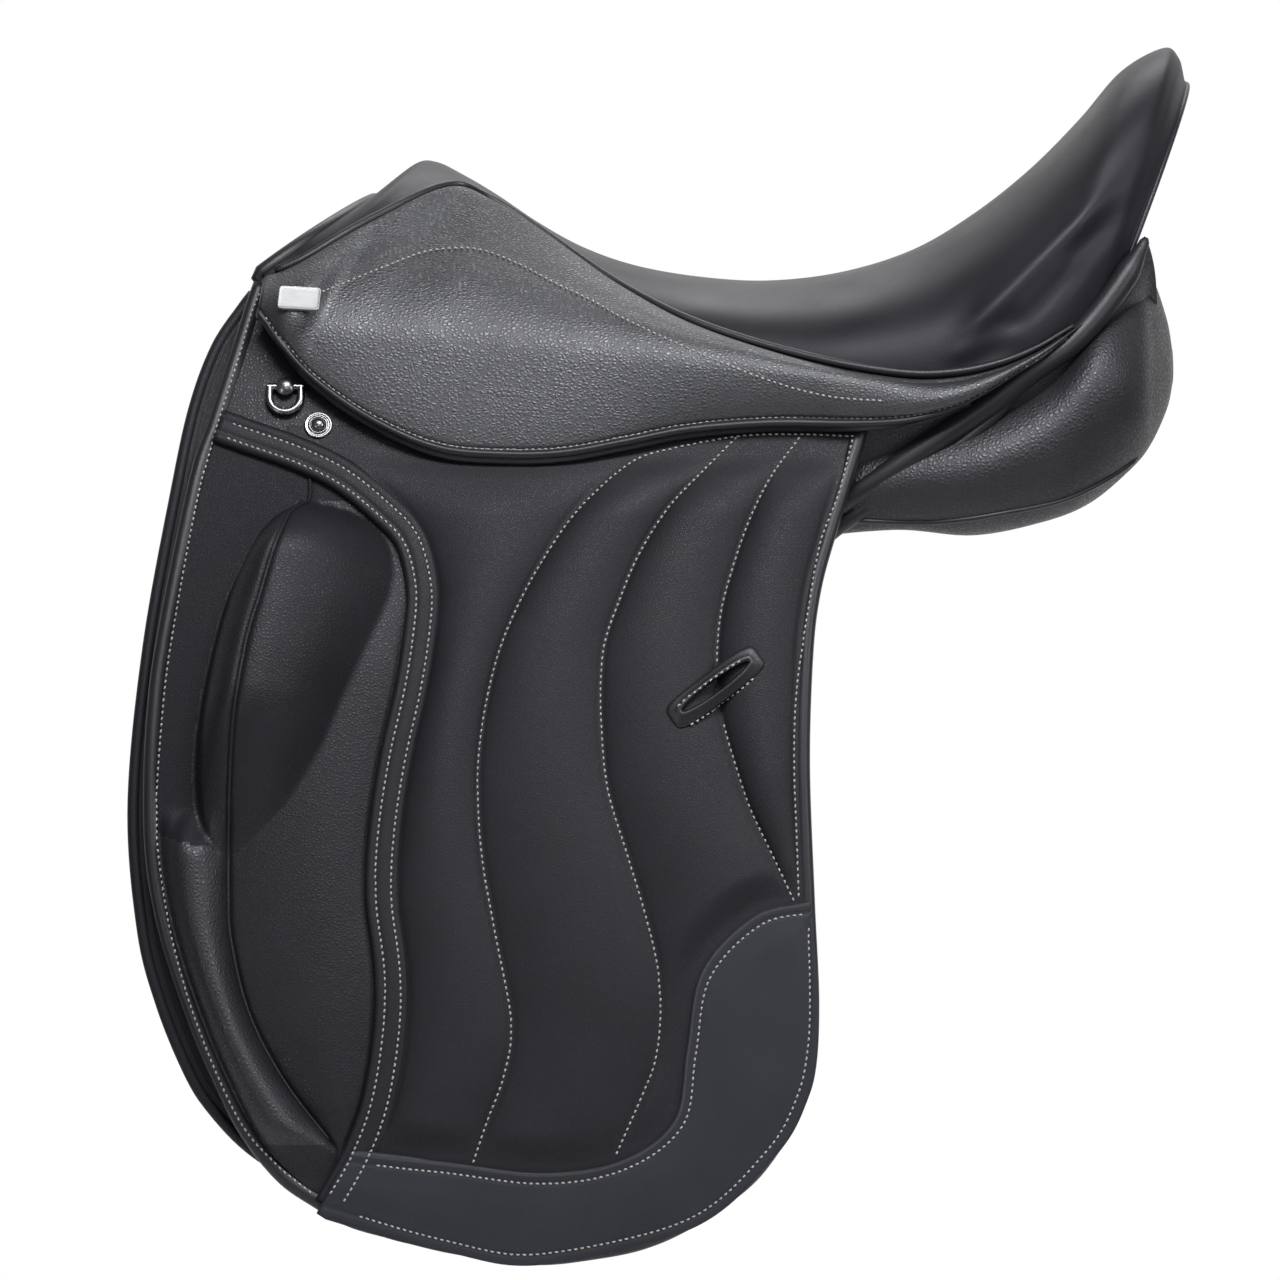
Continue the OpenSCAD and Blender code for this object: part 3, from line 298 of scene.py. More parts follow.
def shell(outer, inner):
    """Sheet between two grids of points, with a round edge."""
    m, n = outer.shape[:2]
    edge = [(0, j) for j in range(n)] + [(i, n - 1) for i in range(1, m)]
    edge += [(m - 1, j) for j in range(n - 2, -1, -1)] + [(i, 0) for i in range(m - 2, 0, -1)]
    i, j = np.array(edge).T
    a, b = outer[i, j], inner[i, j]
    axis = unit(a - b)
    away = a - outer[np.clip(i, 1, m - 2), np.clip(j, 1, n - 2)]
    away = unit(away - axis * np.sum(away * axis, -1, keepdims=True))
    half = np.linalg.norm(a - b, axis=-1, keepdims=True) / 2
    reach = np.minimum(half, EDGE_REACH)
    turns = np.linspace(0, np.pi, EDGE_RINGS + 2)[1:-1]
    rings = [(a + b) / 2 + half * axis * np.cos(t) + reach * away * np.sin(t) for t in turns]
    points = np.concatenate([outer.reshape(-1, 3), inner.reshape(-1, 3)] + rings)
    faces = grid_faces(m, n) + [f[::-1] for f in grid_faces(m, n, m * n)]
    loop = i * n + j
    count = len(edge)
    levels = [loop] + [2 * m * n + k * count + np.arange(count) for k in range(EDGE_RINGS)] + [m * n + loop]
    for upper, lower in zip(levels[:-1], levels[1:]):
        faces += np.stack([np.roll(upper, -1), upper, lower, np.roll(lower, -1)], 1).tolist()
    return facing_out((points, faces))


def tube(rings):
    """Closed loft through rings of points, with capped ends."""
    rings = np.asarray(rings, float)
    m, n = rings.shape[:2]
    points = np.concatenate([rings.reshape(-1, 3), [rings[0].mean(0), rings[-1].mean(0)]])
    faces = grid_faces(m, n, closed=True)
    faces += [[(k + 1) % n, k, m * n] for k in range(n)]
    faces += [[(m - 1) * n + k, (m - 1) * n + (k + 1) % n, m * n + 1] for k in range(n)]
    return facing_out((points, faces))


def cord(path, radius, sides=12):
    """Round cord along a path, with rounded ends."""
    path = np.asarray(path, float)
    run = unit(np.gradient(path, axis=0))
    across = unit(np.cross(run, [0.03, 1, 0.02]))
    over = np.cross(run, across)
    turn = around(sides)[None, :, None]
    size = np.broadcast_to(np.asarray(radius, float), len(path)).copy()
    size[[0, -1]] *= 0.55
    ring = np.cos(turn) * across[:, None] + np.sin(turn) * over[:, None]
    return tube(path[:, None] + size[:, None, None] * ring)


def sideways(path):
    """Directions square to a flat path."""
    run = unit(np.gradient(path, axis=0))
    return np.stack([-run[:, 1], run[:, 0]], 1)


def ribbon(path, profile, base=FLAP_OUT):
    """Strip along a line on the flap; its profile is (distance inwards, distance out)."""
    profile = np.asarray(profile, float)
    at = path[:, None] + sideways(path)[:, None] * profile[None, :, :1]
    return tube(flap_point(at[..., 0], at[..., 1], base + profile[None, :, 1]))


def on_flap(x, z, lift, under=0.2):
    """Sheet on the flap's outer face, from its underside up to its lift."""
    return shell(flap_point(x, z, FLAP_OUT + lift), flap_point(x, z, FLAP_OUT + under))


def joined(shapes):
    points, faces, first = [], [], 0
    for p, f in shapes:
        points.append(p)
        faces += [[k + first for k in face] for face in f]
        first += len(p)
    return np.concatenate(points), faces


def sided(shape, side):
    points, faces = shape
    if side > 0:
        return shape
    return points * [1, -1, 1], [f[::-1] for f in faces]


def make(name, shape, material, accents=()):
    """Object from a shape. An accent is another material and the faces that take it."""
    points, faces = shape
    mesh = bpy.data.meshes.new(name)
    mesh.from_pydata((np.asarray(points) * MM).tolist(), [], faces)
    mesh.polygons.foreach_set("use_smooth", np.ones(len(mesh.polygons), bool))
    mesh.materials.append(material)
    number = np.zeros(len(mesh.polygons), np.int32)
    for k, (other, chosen) in enumerate(accents, 1):
        mesh.materials.append(other)
        number[chosen] = k
    mesh.polygons.foreach_set("material_index", number)
    mesh.update()
    piece = bpy.data.objects.new(name, mesh)
    scene.collection.objects.link(piece)
    return piece


# Bends: the flap turns at its upper edge, the skirt along a slanting line
FLAP_BEND = (flap_point(0, 9, FLAP_OUT), flap_point(0, -13, FLAP_OUT))
SKIRT_AXIS = (np.array((-226.0, 133, 74)), np.array((97.0, 149, 42)))
skirt_run = unit(SKIRT_AXIS[1] - SKIRT_AXIS[0])
skirt_down = np.array((0, 0.42, -0.91))
skirt_down = unit(skirt_down - skirt_run * (skirt_down @ skirt_run))


def dress(nodes):
    """Hide the imported nodes that a piece stands for."""
    if nodes:
        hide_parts(*nodes)


def pair(name, shape, material, body="saddle", nodes=(), bend=None, accents=()):
    """One piece on each side. A node or body name without a side gets it here."""
    for word, side in SIDES:
        piece = make(f"{name}_{word}", sided(shape, side), material, accents)
        if bend:
            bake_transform(piece)
        else:
            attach(piece, body if body == "saddle" else f"{body}_{word}")
        dress([f"{node}_{word}" for node in nodes])


def single(name, shape, material, nodes=()):
    """One piece at the middle."""
    piece = make(name, shape, material)
    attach(piece, "saddle")
    dress(nodes)


def both_sides(shape):
    return joined([sided(shape, side) for _, side in SIDES])


# Materials: the helpers take a material or the world
def put(material, made, name, value):
    """Link a socket to an input, or set a plain value on it."""
    if isinstance(value, bpy.types.NodeSocket):
        material.node_tree.links.new(value, made.inputs[name])
    else:
        made.inputs[name].default_value = value


def node(material, kind, values=(), **settings):
    made = material.node_tree.nodes.new("ShaderNode" + kind)
    for key, value in settings.items():
        setattr(made, key, value)
    for name, value in values:
        put(material, made, name, value)
    return made


def start_material(name):
    """New material, and its place on the object."""
    material = bpy.data.materials.new(name)
    material.use_nodes = True
    return material, node(material, "TexCoord").outputs["Object"]


def spread(material, value, low, high, out_low, out_high, kind="LINEAR"):
    names = ("Value", "From Min", "From Max", "To Min", "To Max")
    values = zip(names, (value, low, high, out_low, out_high))
    return node(material, "MapRange", values, interpolation_type=kind).outputs["Result"]


def shade(material, factor, dark, light):
    ramp = node(material, "ValToRGB", [("Fac", factor)])
    ramp.color_ramp.elements[0].color = (*dark, 1)
    ramp.color_ramp.elements[1].color = (*light, 1)
    return ramp.outputs["Color"]


def noise(material, at, scale, detail=2.0, give="Fac"):
    values = [("Vector", at), ("Scale", scale), ("Detail", detail)]
    return node(material, "TexNoise", values).outputs[give]


def wave(material, at, scale, distortion, direction, detail=2.0):
    values = [("Vector", at), ("Scale", scale), ("Distortion", distortion), ("Detail", detail)]
    return node(material, "TexWave", values, bands_direction=direction).outputs["Fac"]


def voronoi(material, at, scale, feature="F1"):
    values = [("Vector", at), ("Scale", scale)]
    return node(material, "TexVoronoi", values, feature=feature).outputs["Distance"]


def stretched(material, at, scale):
    return node(material, "Mapping", [("Vector", at), ("Scale", scale)]).outputs["Vector"]


def maths(material, operation, *values):
    return node(material, "Math", enumerate(values), operation=operation).outputs[0]


def vector_math(material, operation, *values):
    return node(material, "VectorMath", enumerate(values), operation=operation).outputs["Vector"]


def darker(colour, share):
    return tuple(c * share for c in colour)


def surface(material, base, height, strength, depth, rough):
    """Give the material's shader its colour, bump and roughness."""
    shader = material.node_tree.nodes["Principled BSDF"]
    bump = node(material, "Bump", [("Height", height), ("Strength", strength), ("Distance", depth)])
    for name, value in (("Base Color", base), ("Normal", bump.outputs["Normal"]), ("Roughness", rough)):
        put(material, shader, name, value)
    return shader


def leather(name, colour, grain, depth, rough, gloss=0.2, crease_shade=0.6, dull=0.2, stretch=(1, 1, 1)):
    """Leather with cells of the given size in millimetres, dull creases with painted shade in them, and soft
    tone changes.
    """
    material, at = start_material(name)
    wander = noise(material, at, 420 / grain, give="Color")
    small = vector_math(material, "MULTIPLY", wander, (0.0009 * grain,) * 3)
    moved = vector_math(material, "ADD", at, small)
    drawn = vector_math(material, "MULTIPLY", moved, stretch)
    cells = voronoi(material, drawn, 1000 / grain, "DISTANCE_TO_EDGE")
    plateau = spread(material, cells, 0.0, 0.4, 0.0, 1.0, "SMOOTHSTEP")
    tone = noise(material, at, 26.0, 4.0)
    height = maths(material, "MULTIPLY_ADD", noise(material, at, 160 / grain), 0.9, plateau)
    # Painted shade: the colour darkens towards each cell's edge, in the grain's creases
    base = shade(material, plateau, darker(colour, crease_shade), colour)
    drift = spread(material, tone, 0.3, 0.7, 0.85, 1.15)
    tinted = node(material, "VectorMath", [(0, base), ("Scale", drift)], operation="SCALE")
    worn = spread(material, tone, 0.3, 0.7, -0.04, 0.05)
    matt = spread(material, plateau, 0.0, 1.0, rough + dull, rough)
    matt = maths(material, "ADD", matt, worn)
    shader = surface(material, tinted.outputs["Vector"], height, 0.8, depth * MM, matt)
    shader.inputs["Specular IOR Level"].default_value = gloss
    shader.inputs["Specular Tint"].default_value = (0.93, 0.94, 1, 1)
    return material


def metal(name, colour, rough, scratch):
    """Bright metal with faint polishing marks."""
    material, at = start_material(name)
    marks = noise(material, stretched(material, at, (160, 900, 3800)), 1.0, 3.0)
    base = shade(material, marks, darker(colour, 0.86), colour)
    polish = spread(material, marks, 0.3, 0.7, rough * 0.8, rough * 1.3)
    shader = surface(material, base, marks, scratch, 0.00005, polish)
    shader.inputs["Metallic"].default_value = 1.0
    return material


def webbing(name, colour):
    """Woven web: two crossed waves make the weave."""
    material, at = start_material(name)
    weave = maths(material, "MULTIPLY", *(wave(material, at, 190.0, 0.4, way) for way in ("X", "Z")))
    surface(material, shade(material, weave, darker(colour, 0.6), colour), weave, 0.8, 0.0004, 0.85)
    return material


def foam(name, colour):
    """Open foam: fine pores and slight colour drift."""
    material, at = start_material(name)
    base = shade(material, noise(material, at, 40.0, 3.0), darker(colour, 0.85), colour)
    surface(material, base, voronoi(material, at, 900.0), 0.7, 0.0004, 0.9)
    return material


def laminate(name, dark, light):
    """Laminated beech: thin glued layers with a fine grain."""
    material, at = start_material(name)
    grain = noise(material, stretched(material, at, (60, 700, 700)), 1.0, 5.0)
    layers = maths(material, "MULTIPLY", wave(material, at, 120.0, 2.5, "Z", 3.0), grain)
    surface(material, shade(material, layers, dark, light), grain, 0.3, 0.0002, 0.5)
    return material


def thread(name, colour):
    """Waxed thread with a twist."""
    material, at = start_material(name)
    twist = wave(material, at, 420.0, 0.6, "DIAGONAL")
    surface(material, shade(material, twist, darker(colour, 0.7), colour), twist, 0.5, 0.0002, 0.55)
    return material


BLACK, EDGE_BLACK = (0.0105, 0.0105, 0.0135), (0.011, 0.011, 0.0135)
seat_leather = leather("seat_leather", BLACK, 0.7, 0.03, 0.38, gloss=0.21, crease_shade=0.85, dull=0.1)
skirt_leather = leather("skirt_leather", BLACK, 1.7, 0.16, 0.37, gloss=0.90, dull=0.2, stretch=(0.8, 1, 1))
flap_leather = leather("flap_leather", BLACK, 1.1, 0.07, 0.44, gloss=0.23, crease_shade=0.75)
pad_leather = leather("pad_leather", BLACK, 1.1, 0.07, 0.44, gloss=0.12, crease_shade=0.75)
roll_leather = leather("roll_leather", BLACK, 2.2, 0.14, 0.34, gloss=0.45, dull=0.2)
cut_leather = leather("cut_leather", (0.05, 0.05, 0.055), 0.6, 0.03, 0.6)
block_leather = leather("block_leather", BLACK, 1.6, 0.11, 0.35, gloss=0.25, dull=0.2)
edge_leather = leather("edge_leather", EDGE_BLACK, 0.7, 0.03, 0.34, gloss=0.36, crease_shade=0.8, dull=0.1)
patch_leather = leather("patch_leather", (0.0145, 0.0153, 0.0200), 0.6, 0.03, 0.46, gloss=0.28, crease_shade=0.9)
panel_leather = leather("panel_leather", BLACK, 2.1, 0.17, 0.35, gloss=0.50, dull=0.2)
strap_leather = leather("strap_leather", (0.0125, 0.0120, 0.0125), 0.8, 0.05, 0.45)
stitch_thread = thread("stitch_thread", (0.34, 0.335, 0.325))
chrome = metal("chrome", (0.17, 0.17, 0.18), 0.27, 0.01)
nickel = metal("nickel", (0.38, 0.385, 0.39), 0.55, 0.05)
steel = metal("steel", (0.42, 0.43, 0.45), 0.34, 0.25)
web_cloth = webbing("web_cloth", (0.19, 0.17, 0.13))
seat_foam_stuff = foam("seat_foam_stuff", (0.62, 0.58, 0.44))
beech = laminate("beech", (0.012, 0.010, 0.009), (0.034, 0.028, 0.024))


# Stitching
STITCH_LENGTH, STITCH_R, STITCH_PITCH, STITCH_SLANT = 1.7, 0.48, 3.0, 0.10
STITCH_RUN = np.array((-0.5, -0.44, -0.3, 0.0, 0.3, 0.44, 0.5))
STITCH_SIZE = np.array((0.35, 0.72, 0.95, 1.0, 0.95, 0.72, 0.35))
STITCH_SIDES = 6


def stitch_row(points, normals):
    """A row of thread stitches along points on a surface."""
    run = run_of(points)
    count = max(int(run[-1] / STITCH_PITCH), 1)
    at = (np.arange(count) + 0.5) * run[-1] / count
    centre = at_run(at, run, points)
    normal = unit(at_run(at, run, normals))
    along = at_run(at + 0.8, run, points) - at_run(at - 0.8, run, points)
    along = unit(along - normal * np.sum(along * normal, 1, keepdims=True))
    across = np.cross(normal, along)
    along, across = unit(along + STITCH_SLANT * across), unit(across - STITCH_SLANT * along)
    sink = STITCH_R * (0.75 - 1.6 * (2 * STITCH_RUN) ** 2 * 0.55)
    turn = around(STITCH_SIDES)
    shapes = []
    for c, t, b, n in zip(centre, along, across, normal):
        spine = c + STITCH_LENGTH * STITCH_RUN[:, None] * t + sink[:, None] * n
        ring = np.cos(turn)[None, :, None] * b + np.sin(turn)[None, :, None] * n
        shapes.append(tube(spine[:, None] + STITCH_R * STITCH_SIZE[:, None, None] * ring))
    return joined(shapes)


def tree_of(*shapes):
    points, faces = joined(shapes)
    return BVHTree.FromPolygons(points.tolist(), faces)


OUTSIDE = 500


def meet(surface, x, z):
    """Point and normal of a surface that is met from outside."""
    return surface.ray_cast(Vector((x, OUTSIDE, z)), Vector((0, -1, 0)))[:2]


def points_and_normals(hits):
    return np.array([hit[0] for hit in hits]), np.array([hit[1] for hit in hits])


def cast(surface, line, step=1.2):
    """Points and normals where a line, given in x and z, meets a surface from outside."""
    hits = [meet(surface, x, z) for x, z in resample(line, step)]
    return points_and_normals([hit for hit in hits if hit[0] is not None])


def sewn(surface, *lines):
    return joined([stitch_row(*cast(surface, line)) for line in lines])


# Seat: leather, foam, webs, piping and facings
SEAT_CROWN, FOAM_BASE, WEB_REACH = 1.6, 21.5, 44
# Depths of the webs under the leather, upper and lower face
LONG_WEB, CROSS_WEB = (22.9, 24.4), (22.8, 24.5)


def seat_grid(rows, columns, d):
    u = rows[:, None]
    return seat_point(u, columns[None] * piping_angle(u), d)


def seat_strip(rows, angle, top, base):
    return shell(seat_point(rows[:, None], angle, top), seat_point(rows[:, None], angle, base))


rows = np.linspace(0, SEAT_END, 210)
columns = np.sin(np.linspace(-1, 1, 91) * np.pi / 2)
crown = SEAT_CROWN * (1 - columns[None] ** 6)
crown = crown * ease((rows[:, None] - 1.2) / 3) * ease((16.2 - rows[:, None]) / 2)
outer = seat_grid(rows, columns, -crown)
# Soft folds in the leather beside the cantle: ends as distance back and height, rise and width
FOLDS = [((114, 80), (166, 132), 3.6, 6), ((132, 84), (153, 106), 1.6, 4), ((100, 62), (124, 72), 1.0, 4)]
on_side = outer[..., [0, 2]].copy()
for start, end, rise_of, wide in FOLDS:
    fold_run = np.array(end) - start
    fold_length = np.linalg.norm(fold_run)
    along = (on_side - start) @ fold_run / fold_length**2
    aside = (on_side - start) @ [fold_run[1], -fold_run[0]] / fold_length
    fold = np.exp(-(aside / wide) ** 2) - 0.7 * np.exp(-((aside - 1.9 * wide) / wide) ** 2)
    fold *= ease((along + 0.35) / 0.5) * ease((1.35 - along) / 0.5) * ease(np.abs(columns[None]) / 0.6)
    outer[..., 1] += rise_of * fold * np.sign(columns[None])
seat_shape = shell(outer, seat_grid(rows, columns, COVER_T))
single("seat_cover_leather", seat_shape, seat_leather, ["seat_cover"])
rows = np.linspace(0.9, SEAT_END - 0.55, 70)
columns = np.linspace(-0.985, 0.985, 31)
foam_top = 3.3 + 16 * ease((2.8 - rows[:, None]) / 2)
foam_shape = shell(seat_grid(rows, columns, foam_top), seat_grid(rows, columns, FOAM_BASE))
single("seat_padding", foam_shape, seat_foam_stuff, ["seat_foam"])
rows = np.linspace(2, SEAT_END - 2, 60)
reach = np.arcsin(np.minimum(WEB_REACH / spline(SEAT, rows)[:, 2], 1))
strips = []
for side in (-1, 1):
    angle = side * mix(np.radians(4), reach[:, None], steps(6)[None])
    strips.append(seat_strip(rows, angle, *LONG_WEB))
for u in (2.4, 9, 15.4):
    angle = np.linspace(-1, 1, 12)[None] * np.radians(6)
    strips.append(seat_strip(np.linspace(u - 0.35, u + 0.35, 6), angle, *CROSS_WEB))
single("seat_web_straps", joined(strips), web_cloth, ["seat_webs"])

PIPING_R, LAYER_GAP = 2.2, 0.3
u = np.linspace(0.12, 15.4, 240)
angle = piping_angle(u)
edge = seat_point(u, angle, -PIPING_R - 3 * LAYER_GAP)
towards = seat_point(u, angle - np.radians(2), -PIPING_R) - seat_point(u, angle, -PIPING_R)
piping_path = edge + (PIPING_R + 2 * LAYER_GAP) * unit(towards)
piping_size = PIPING_R * (1 - 0.5 * ease((u - 12) / 3))
pair("seat_piping_cord", cord(piping_path, piping_size), edge_leather, nodes=["seat_piping"])


def arch(u, shift, depth, reach, inset):
    """Leather that closes an end of the seat, slightly bulged."""
    angle = np.radians(np.linspace(-reach, reach, 73))
    deep = np.linspace(inset / depth, 1, 15)
    swell = 1.2 * np.sin(np.pi * deep)[:, None, None] * [np.sign(shift), 0, 0]
    flat = seat_point(u, angle[None], depth * deep[:, None])
    return shell(flat + swell + [shift + np.sign(shift) * COVER_T, 0, 0], flat + [shift, 0, 0])


# Rolled front edge of the pommel: fuller towards its feet
angle = np.radians(np.linspace(-88, 88, 120))
lean = np.abs(np.sin(angle))
pommel_edge = seat_point(0, angle, 3.5) - (3 * lean**3 - 0.5)[:, None] * [1, 0, 0]
ends = pommel_edge[[0, -1]] + [5, 0, -9]
pommel_edge = np.concatenate([ends[:1], pommel_edge, ends[1:]])
lean = np.concatenate([[1], lean, [1]])
pommel_shape = joined([arch(0, -0.4, 37, 84, 4), cord(pommel_edge, 3.0 + 1.2 * lean, 14)])
single("pommel_leather", pommel_shape, edge_leather, ["pommel_facing"])
single("cantle_leather", arch(SEAT_END, 0.6, 45, 86, 2.2), edge_leather, ["cantle_facing"])


# Skirts: one leather across the bend, padded, with a rolled lower edge
SKIRT_LOWER = np.array([
    (-232, 80), (-222, 66), (-204, 47), (-176, 28), (-145, 15), (-112, 12), (-85, 13), (-57, 18), (-26, 24),
    (12, 27), (46, 27), (75, 29), (97, 35), (114, 43), (130, 53), (143, 61), (154, 70)])
SKIRT_STAND = [(0, 10), (1, 9.5), (2, 6), (3, 3), (4, 1), (16, 0.6)]
SKIRT_T, SKIRT_LIFT, SKIRT_FIRST, SKIRT_LAST = 4, 1.4, 0.08, 15.8
SKIRT_SAMPLES = 60


def skirt_section(u):
    """Outer line of one section of the skirt, from the piping down to its edge."""
    u = np.float64(u)
    p = spline(SKIRT_LOWER, u)
    face = flap_point(p[0], p[1], FLAP_OUT + look(SKIRT_STAND, u))[1]
    side = seat_point(u, np.radians(90), 0)[1]
    foot = np.array([p[0], max(face, side + 3) + SKIRT_T + SKIRT_LIFT, p[1]])
    top = seat_point(u, piping_angle(u), -3 * LAYER_GAP - SKIRT_T)
    along = (p[0] - SKIRT_AXIS[0][0]) / (SKIRT_AXIS[1][0] - SKIRT_AXIS[0][0])
    bend = mix(SKIRT_AXIS[0], SKIRT_AXIS[1], along) - [0, 1, 0]
    t = np.linspace(0.02, 1, 40)[:, None]
    lines = []
    for knee, lift in ((bend, 0.6 * (bend - foot)), (foot, np.array((0, 0.5, 0.35)) * (top[2] - foot[2]))):
        high = min(knee[2] + lift[2], top[2] - 1)
        middle = np.array([mix(top[0], knee[0], 0.7), knee[1] + max(lift[1], -8), high])
        lines.append((1 - t) ** 2 * top + 2 * t * (1 - t) * middle + t**2 * knee)
    hanging = np.concatenate([lines[0], mix(bend, foot, np.linspace(0.05, 1, 20)[:, None])])
    direct = max(ease((u - 10.2) / 2), ease((2 - u) / 1.4))
    return mix(evenly(hanging, SKIRT_SAMPLES), evenly(lines[1], SKIRT_SAMPLES), direct)


EDGE_ROLL, EDGE_STITCH, SKIRT_SWELL, SKIRT_GROOVE = 2.4, 5, 2.6, 0.6
NEAR_EDGE = np.array((0, 0.4, 0.9, 1.6, 2.4, 3.2, 3.9, 4.5, 5, 5.6, 6.4))
STITCH_COLUMN = 8
skirt_rows = np.concatenate([np.linspace(SKIRT_FIRST, 1.5, 24)[:-1], np.linspace(1.5, SKIRT_LAST, 160)])
outer, inner = [], []
for u in skirt_rows:
    line = skirt_section(u)[::-1]
    run = run_of(line)
    scale = min(run[-1] / 34, 1)
    s = np.concatenate([NEAR_EDGE * scale, np.linspace(7.4 * scale, run[-1], 34)])
    at = at_run(s, run, line)
    step = unit(np.gradient(at, axis=0) * [0, 1, 1])
    normal = np.stack([np.zeros(len(s)), step[:, 2], -step[:, 1]], 1)
    sewn_at = EDGE_STITCH * scale
    roll = EDGE_ROLL * scale * np.sin(np.pi * np.clip(s / sewn_at, 0, 1)) ** 0.7
    pad = np.clip((s - sewn_at) / (0.72 * run[-1]), 0, 1)
    swell = SKIRT_SWELL * np.sin(np.pi * pad ** 0.8) ** 0.8 * ease(u / 2) * ease((SKIRT_LAST - u) / 4)
    groove = SKIRT_GROOVE * np.exp(-((s - sewn_at) / 0.7) ** 2)
    lift = (roll + swell - groove)[:, None]
    outer.append(at + normal * lift)
    inner.append(at - normal * SKIRT_T)
outer, inner = np.array(outer), np.array(inner)
skirt_shape = shell(outer, inner)
columns_in = outer.shape[1]
on_face = (outer.shape[0] - 1) * (columns_in - 1)
face_number = np.arange(len(skirt_shape[1]))
bead_faces = (face_number % (columns_in - 1) < STITCH_COLUMN) | (face_number >= 2 * on_face)
pair("skirt_leather", skirt_shape, skirt_leather, nodes=["skirt_upper", "skirt"],
     bend="skirt", accents=[(edge_leather, bead_faces)])
skirt_tree = tree_of(skirt_shape)
SKIRT_DECOR = [
    (-204, 91), (-189, 97), (-172, 104), (-154, 111), (-139, 113), (-125, 112), (-107, 105), (-90, 96),
    (-73, 88), (-59, 80), (-38, 70), (-10, 58), (17, 48), (41, 42), (66, 40)]
edge_line = outer[3:-6, STITCH_COLUMN]
edge_hits = points_and_normals([skirt_tree.find_nearest(Vector(p)) for p in edge_line])
skirt_rows_sewn = joined([stitch_row(*edge_hits), sewn(skirt_tree, SKIRT_DECOR)])
pair("skirt_stitches", skirt_rows_sewn, stitch_thread, bend="skirt")


# Flap and sweat flap: sheets with ears, and round bindings along their edges
EAR_TOP = 100
# Upper edge behind the ear, as share of the width and height
SWEAT_SHOULDER = [(0.165, 30), (0.21, 23), (1, 22)]
FLAP_SHOULDER = [(0.2, 45), (0.29, 35), (0.36, 32), (1, 31)]


def eared_sheet(front, rear, ear, shoulder, low, d_in, d_out, inset):
    """Sheet on the flap's curve, with an ear at its front that reaches up to the head."""
    across = np.concatenate([np.linspace(0, 0.36, 36), np.linspace(0.38, 1, 30)])
    top = look([(0, EAR_TOP), (0.06, EAR_TOP - 5), (ear, 60)] + shoulder, across)
    z = mix(top[None], low, steps(120)[:, None])
    x = mix(look(front, z) + inset, look(rear, z) - inset, across[None])
    return shell(flap_point(x, z, d_out), flap_point(x, z, d_in))


def outline(front, rear, step):
    rim = [(x, z) for z, x in front] + [(x, z) for z, x in rear[::-1][1:]]
    return resample(rim, step)


SWEAT_EDGE = [
    (1.5, -1.5), (-0.2, -0.8), (-0.6, 1.2), (0.2, 2.6), (1.6, 3.6), (3.2, 3.6), (4.8, 2.6), (5.6, 1.0),
    (6.4, 2.2), (7.6, 2.6), (8.8, 1.6), (9.6, -0.4), (6, -1.2)]
FLAP_EDGE = [
    (1.5, -4.4), (-0.2, -3.6), (-0.7, -1.8), (-0.4, 0), (0.5, 1.3), (2, 2.1), (3.6, 2.2), (5.2, 1.6),
    (6.6, 0.3), (7.4, -0.4), (7.2, -3.0), (4.5, -4.4)]
sweat_shape = joined([
    eared_sheet(SWEAT_FRONT, SWEAT_REAR, 0.13, SWEAT_SHOULDER, -346, 0, SWEAT_OUT, 3),
    ribbon(outline(SWEAT_FRONT, SWEAT_REAR, 4), SWEAT_EDGE, base=1.2)])
pair("sweat_flap_leather", sweat_shape, flap_leather, nodes=["sweat_flap"])
flap_sheet = eared_sheet(FLAP_FRONT, FLAP_REAR, 0.17, FLAP_SHOULDER, -362, FLAP_IN, FLAP_OUT, 3)
flap_edge = ribbon(outline(FLAP_FRONT, FLAP_REAR, 3), FLAP_EDGE)
pair("flap_leather", flap_sheet, block_leather, nodes=["flap_head", "flap"], bend="flap")
pair("flap_binding", flap_edge, edge_leather, bend="flap")


# Knee block and the leather over it
KNEE_RISE, PAD_ROLL, PAD_CROWN, PAD_SEAM, PAD_PUCKER = 36, 13, 5, -1.2, 0.5
SEAM_BY_HEIGHT, BAND_BY_HEIGHT = by_height(SEAM), by_height(BAND)


def knee_height(x, z):
    """Rise of the knee block: a steep front up to the seam, a soft back."""
    front, rear = look(KNEE_FRONT, z), look(KNEE_REAR, z)
    crest = np.clip(look(SEAM_BY_HEIGHT, z), front + 0.15 * (rear - front), front + 0.6 * (rear - front))
    ends = np.sin(np.pi / 2 * np.clip((-9 - z) / 34, 0, 1)) ** 0.8 * ease((z + 176) / 75) ** 0.8
    ahead = np.clip((x - front) / np.maximum(crest - front, 0.5), 0, 1)
    steep = np.sqrt(np.maximum(1 - (1 - ahead) ** 2, 0)) * ease(ahead / 0.25)
    behind = np.clip((x - crest) / np.maximum(rear - crest, 0.5), 0, 1)
    soft = (1 - behind**1.9) ** 1.1
    return KNEE_RISE * ends * np.where(x < crest, steep, soft)


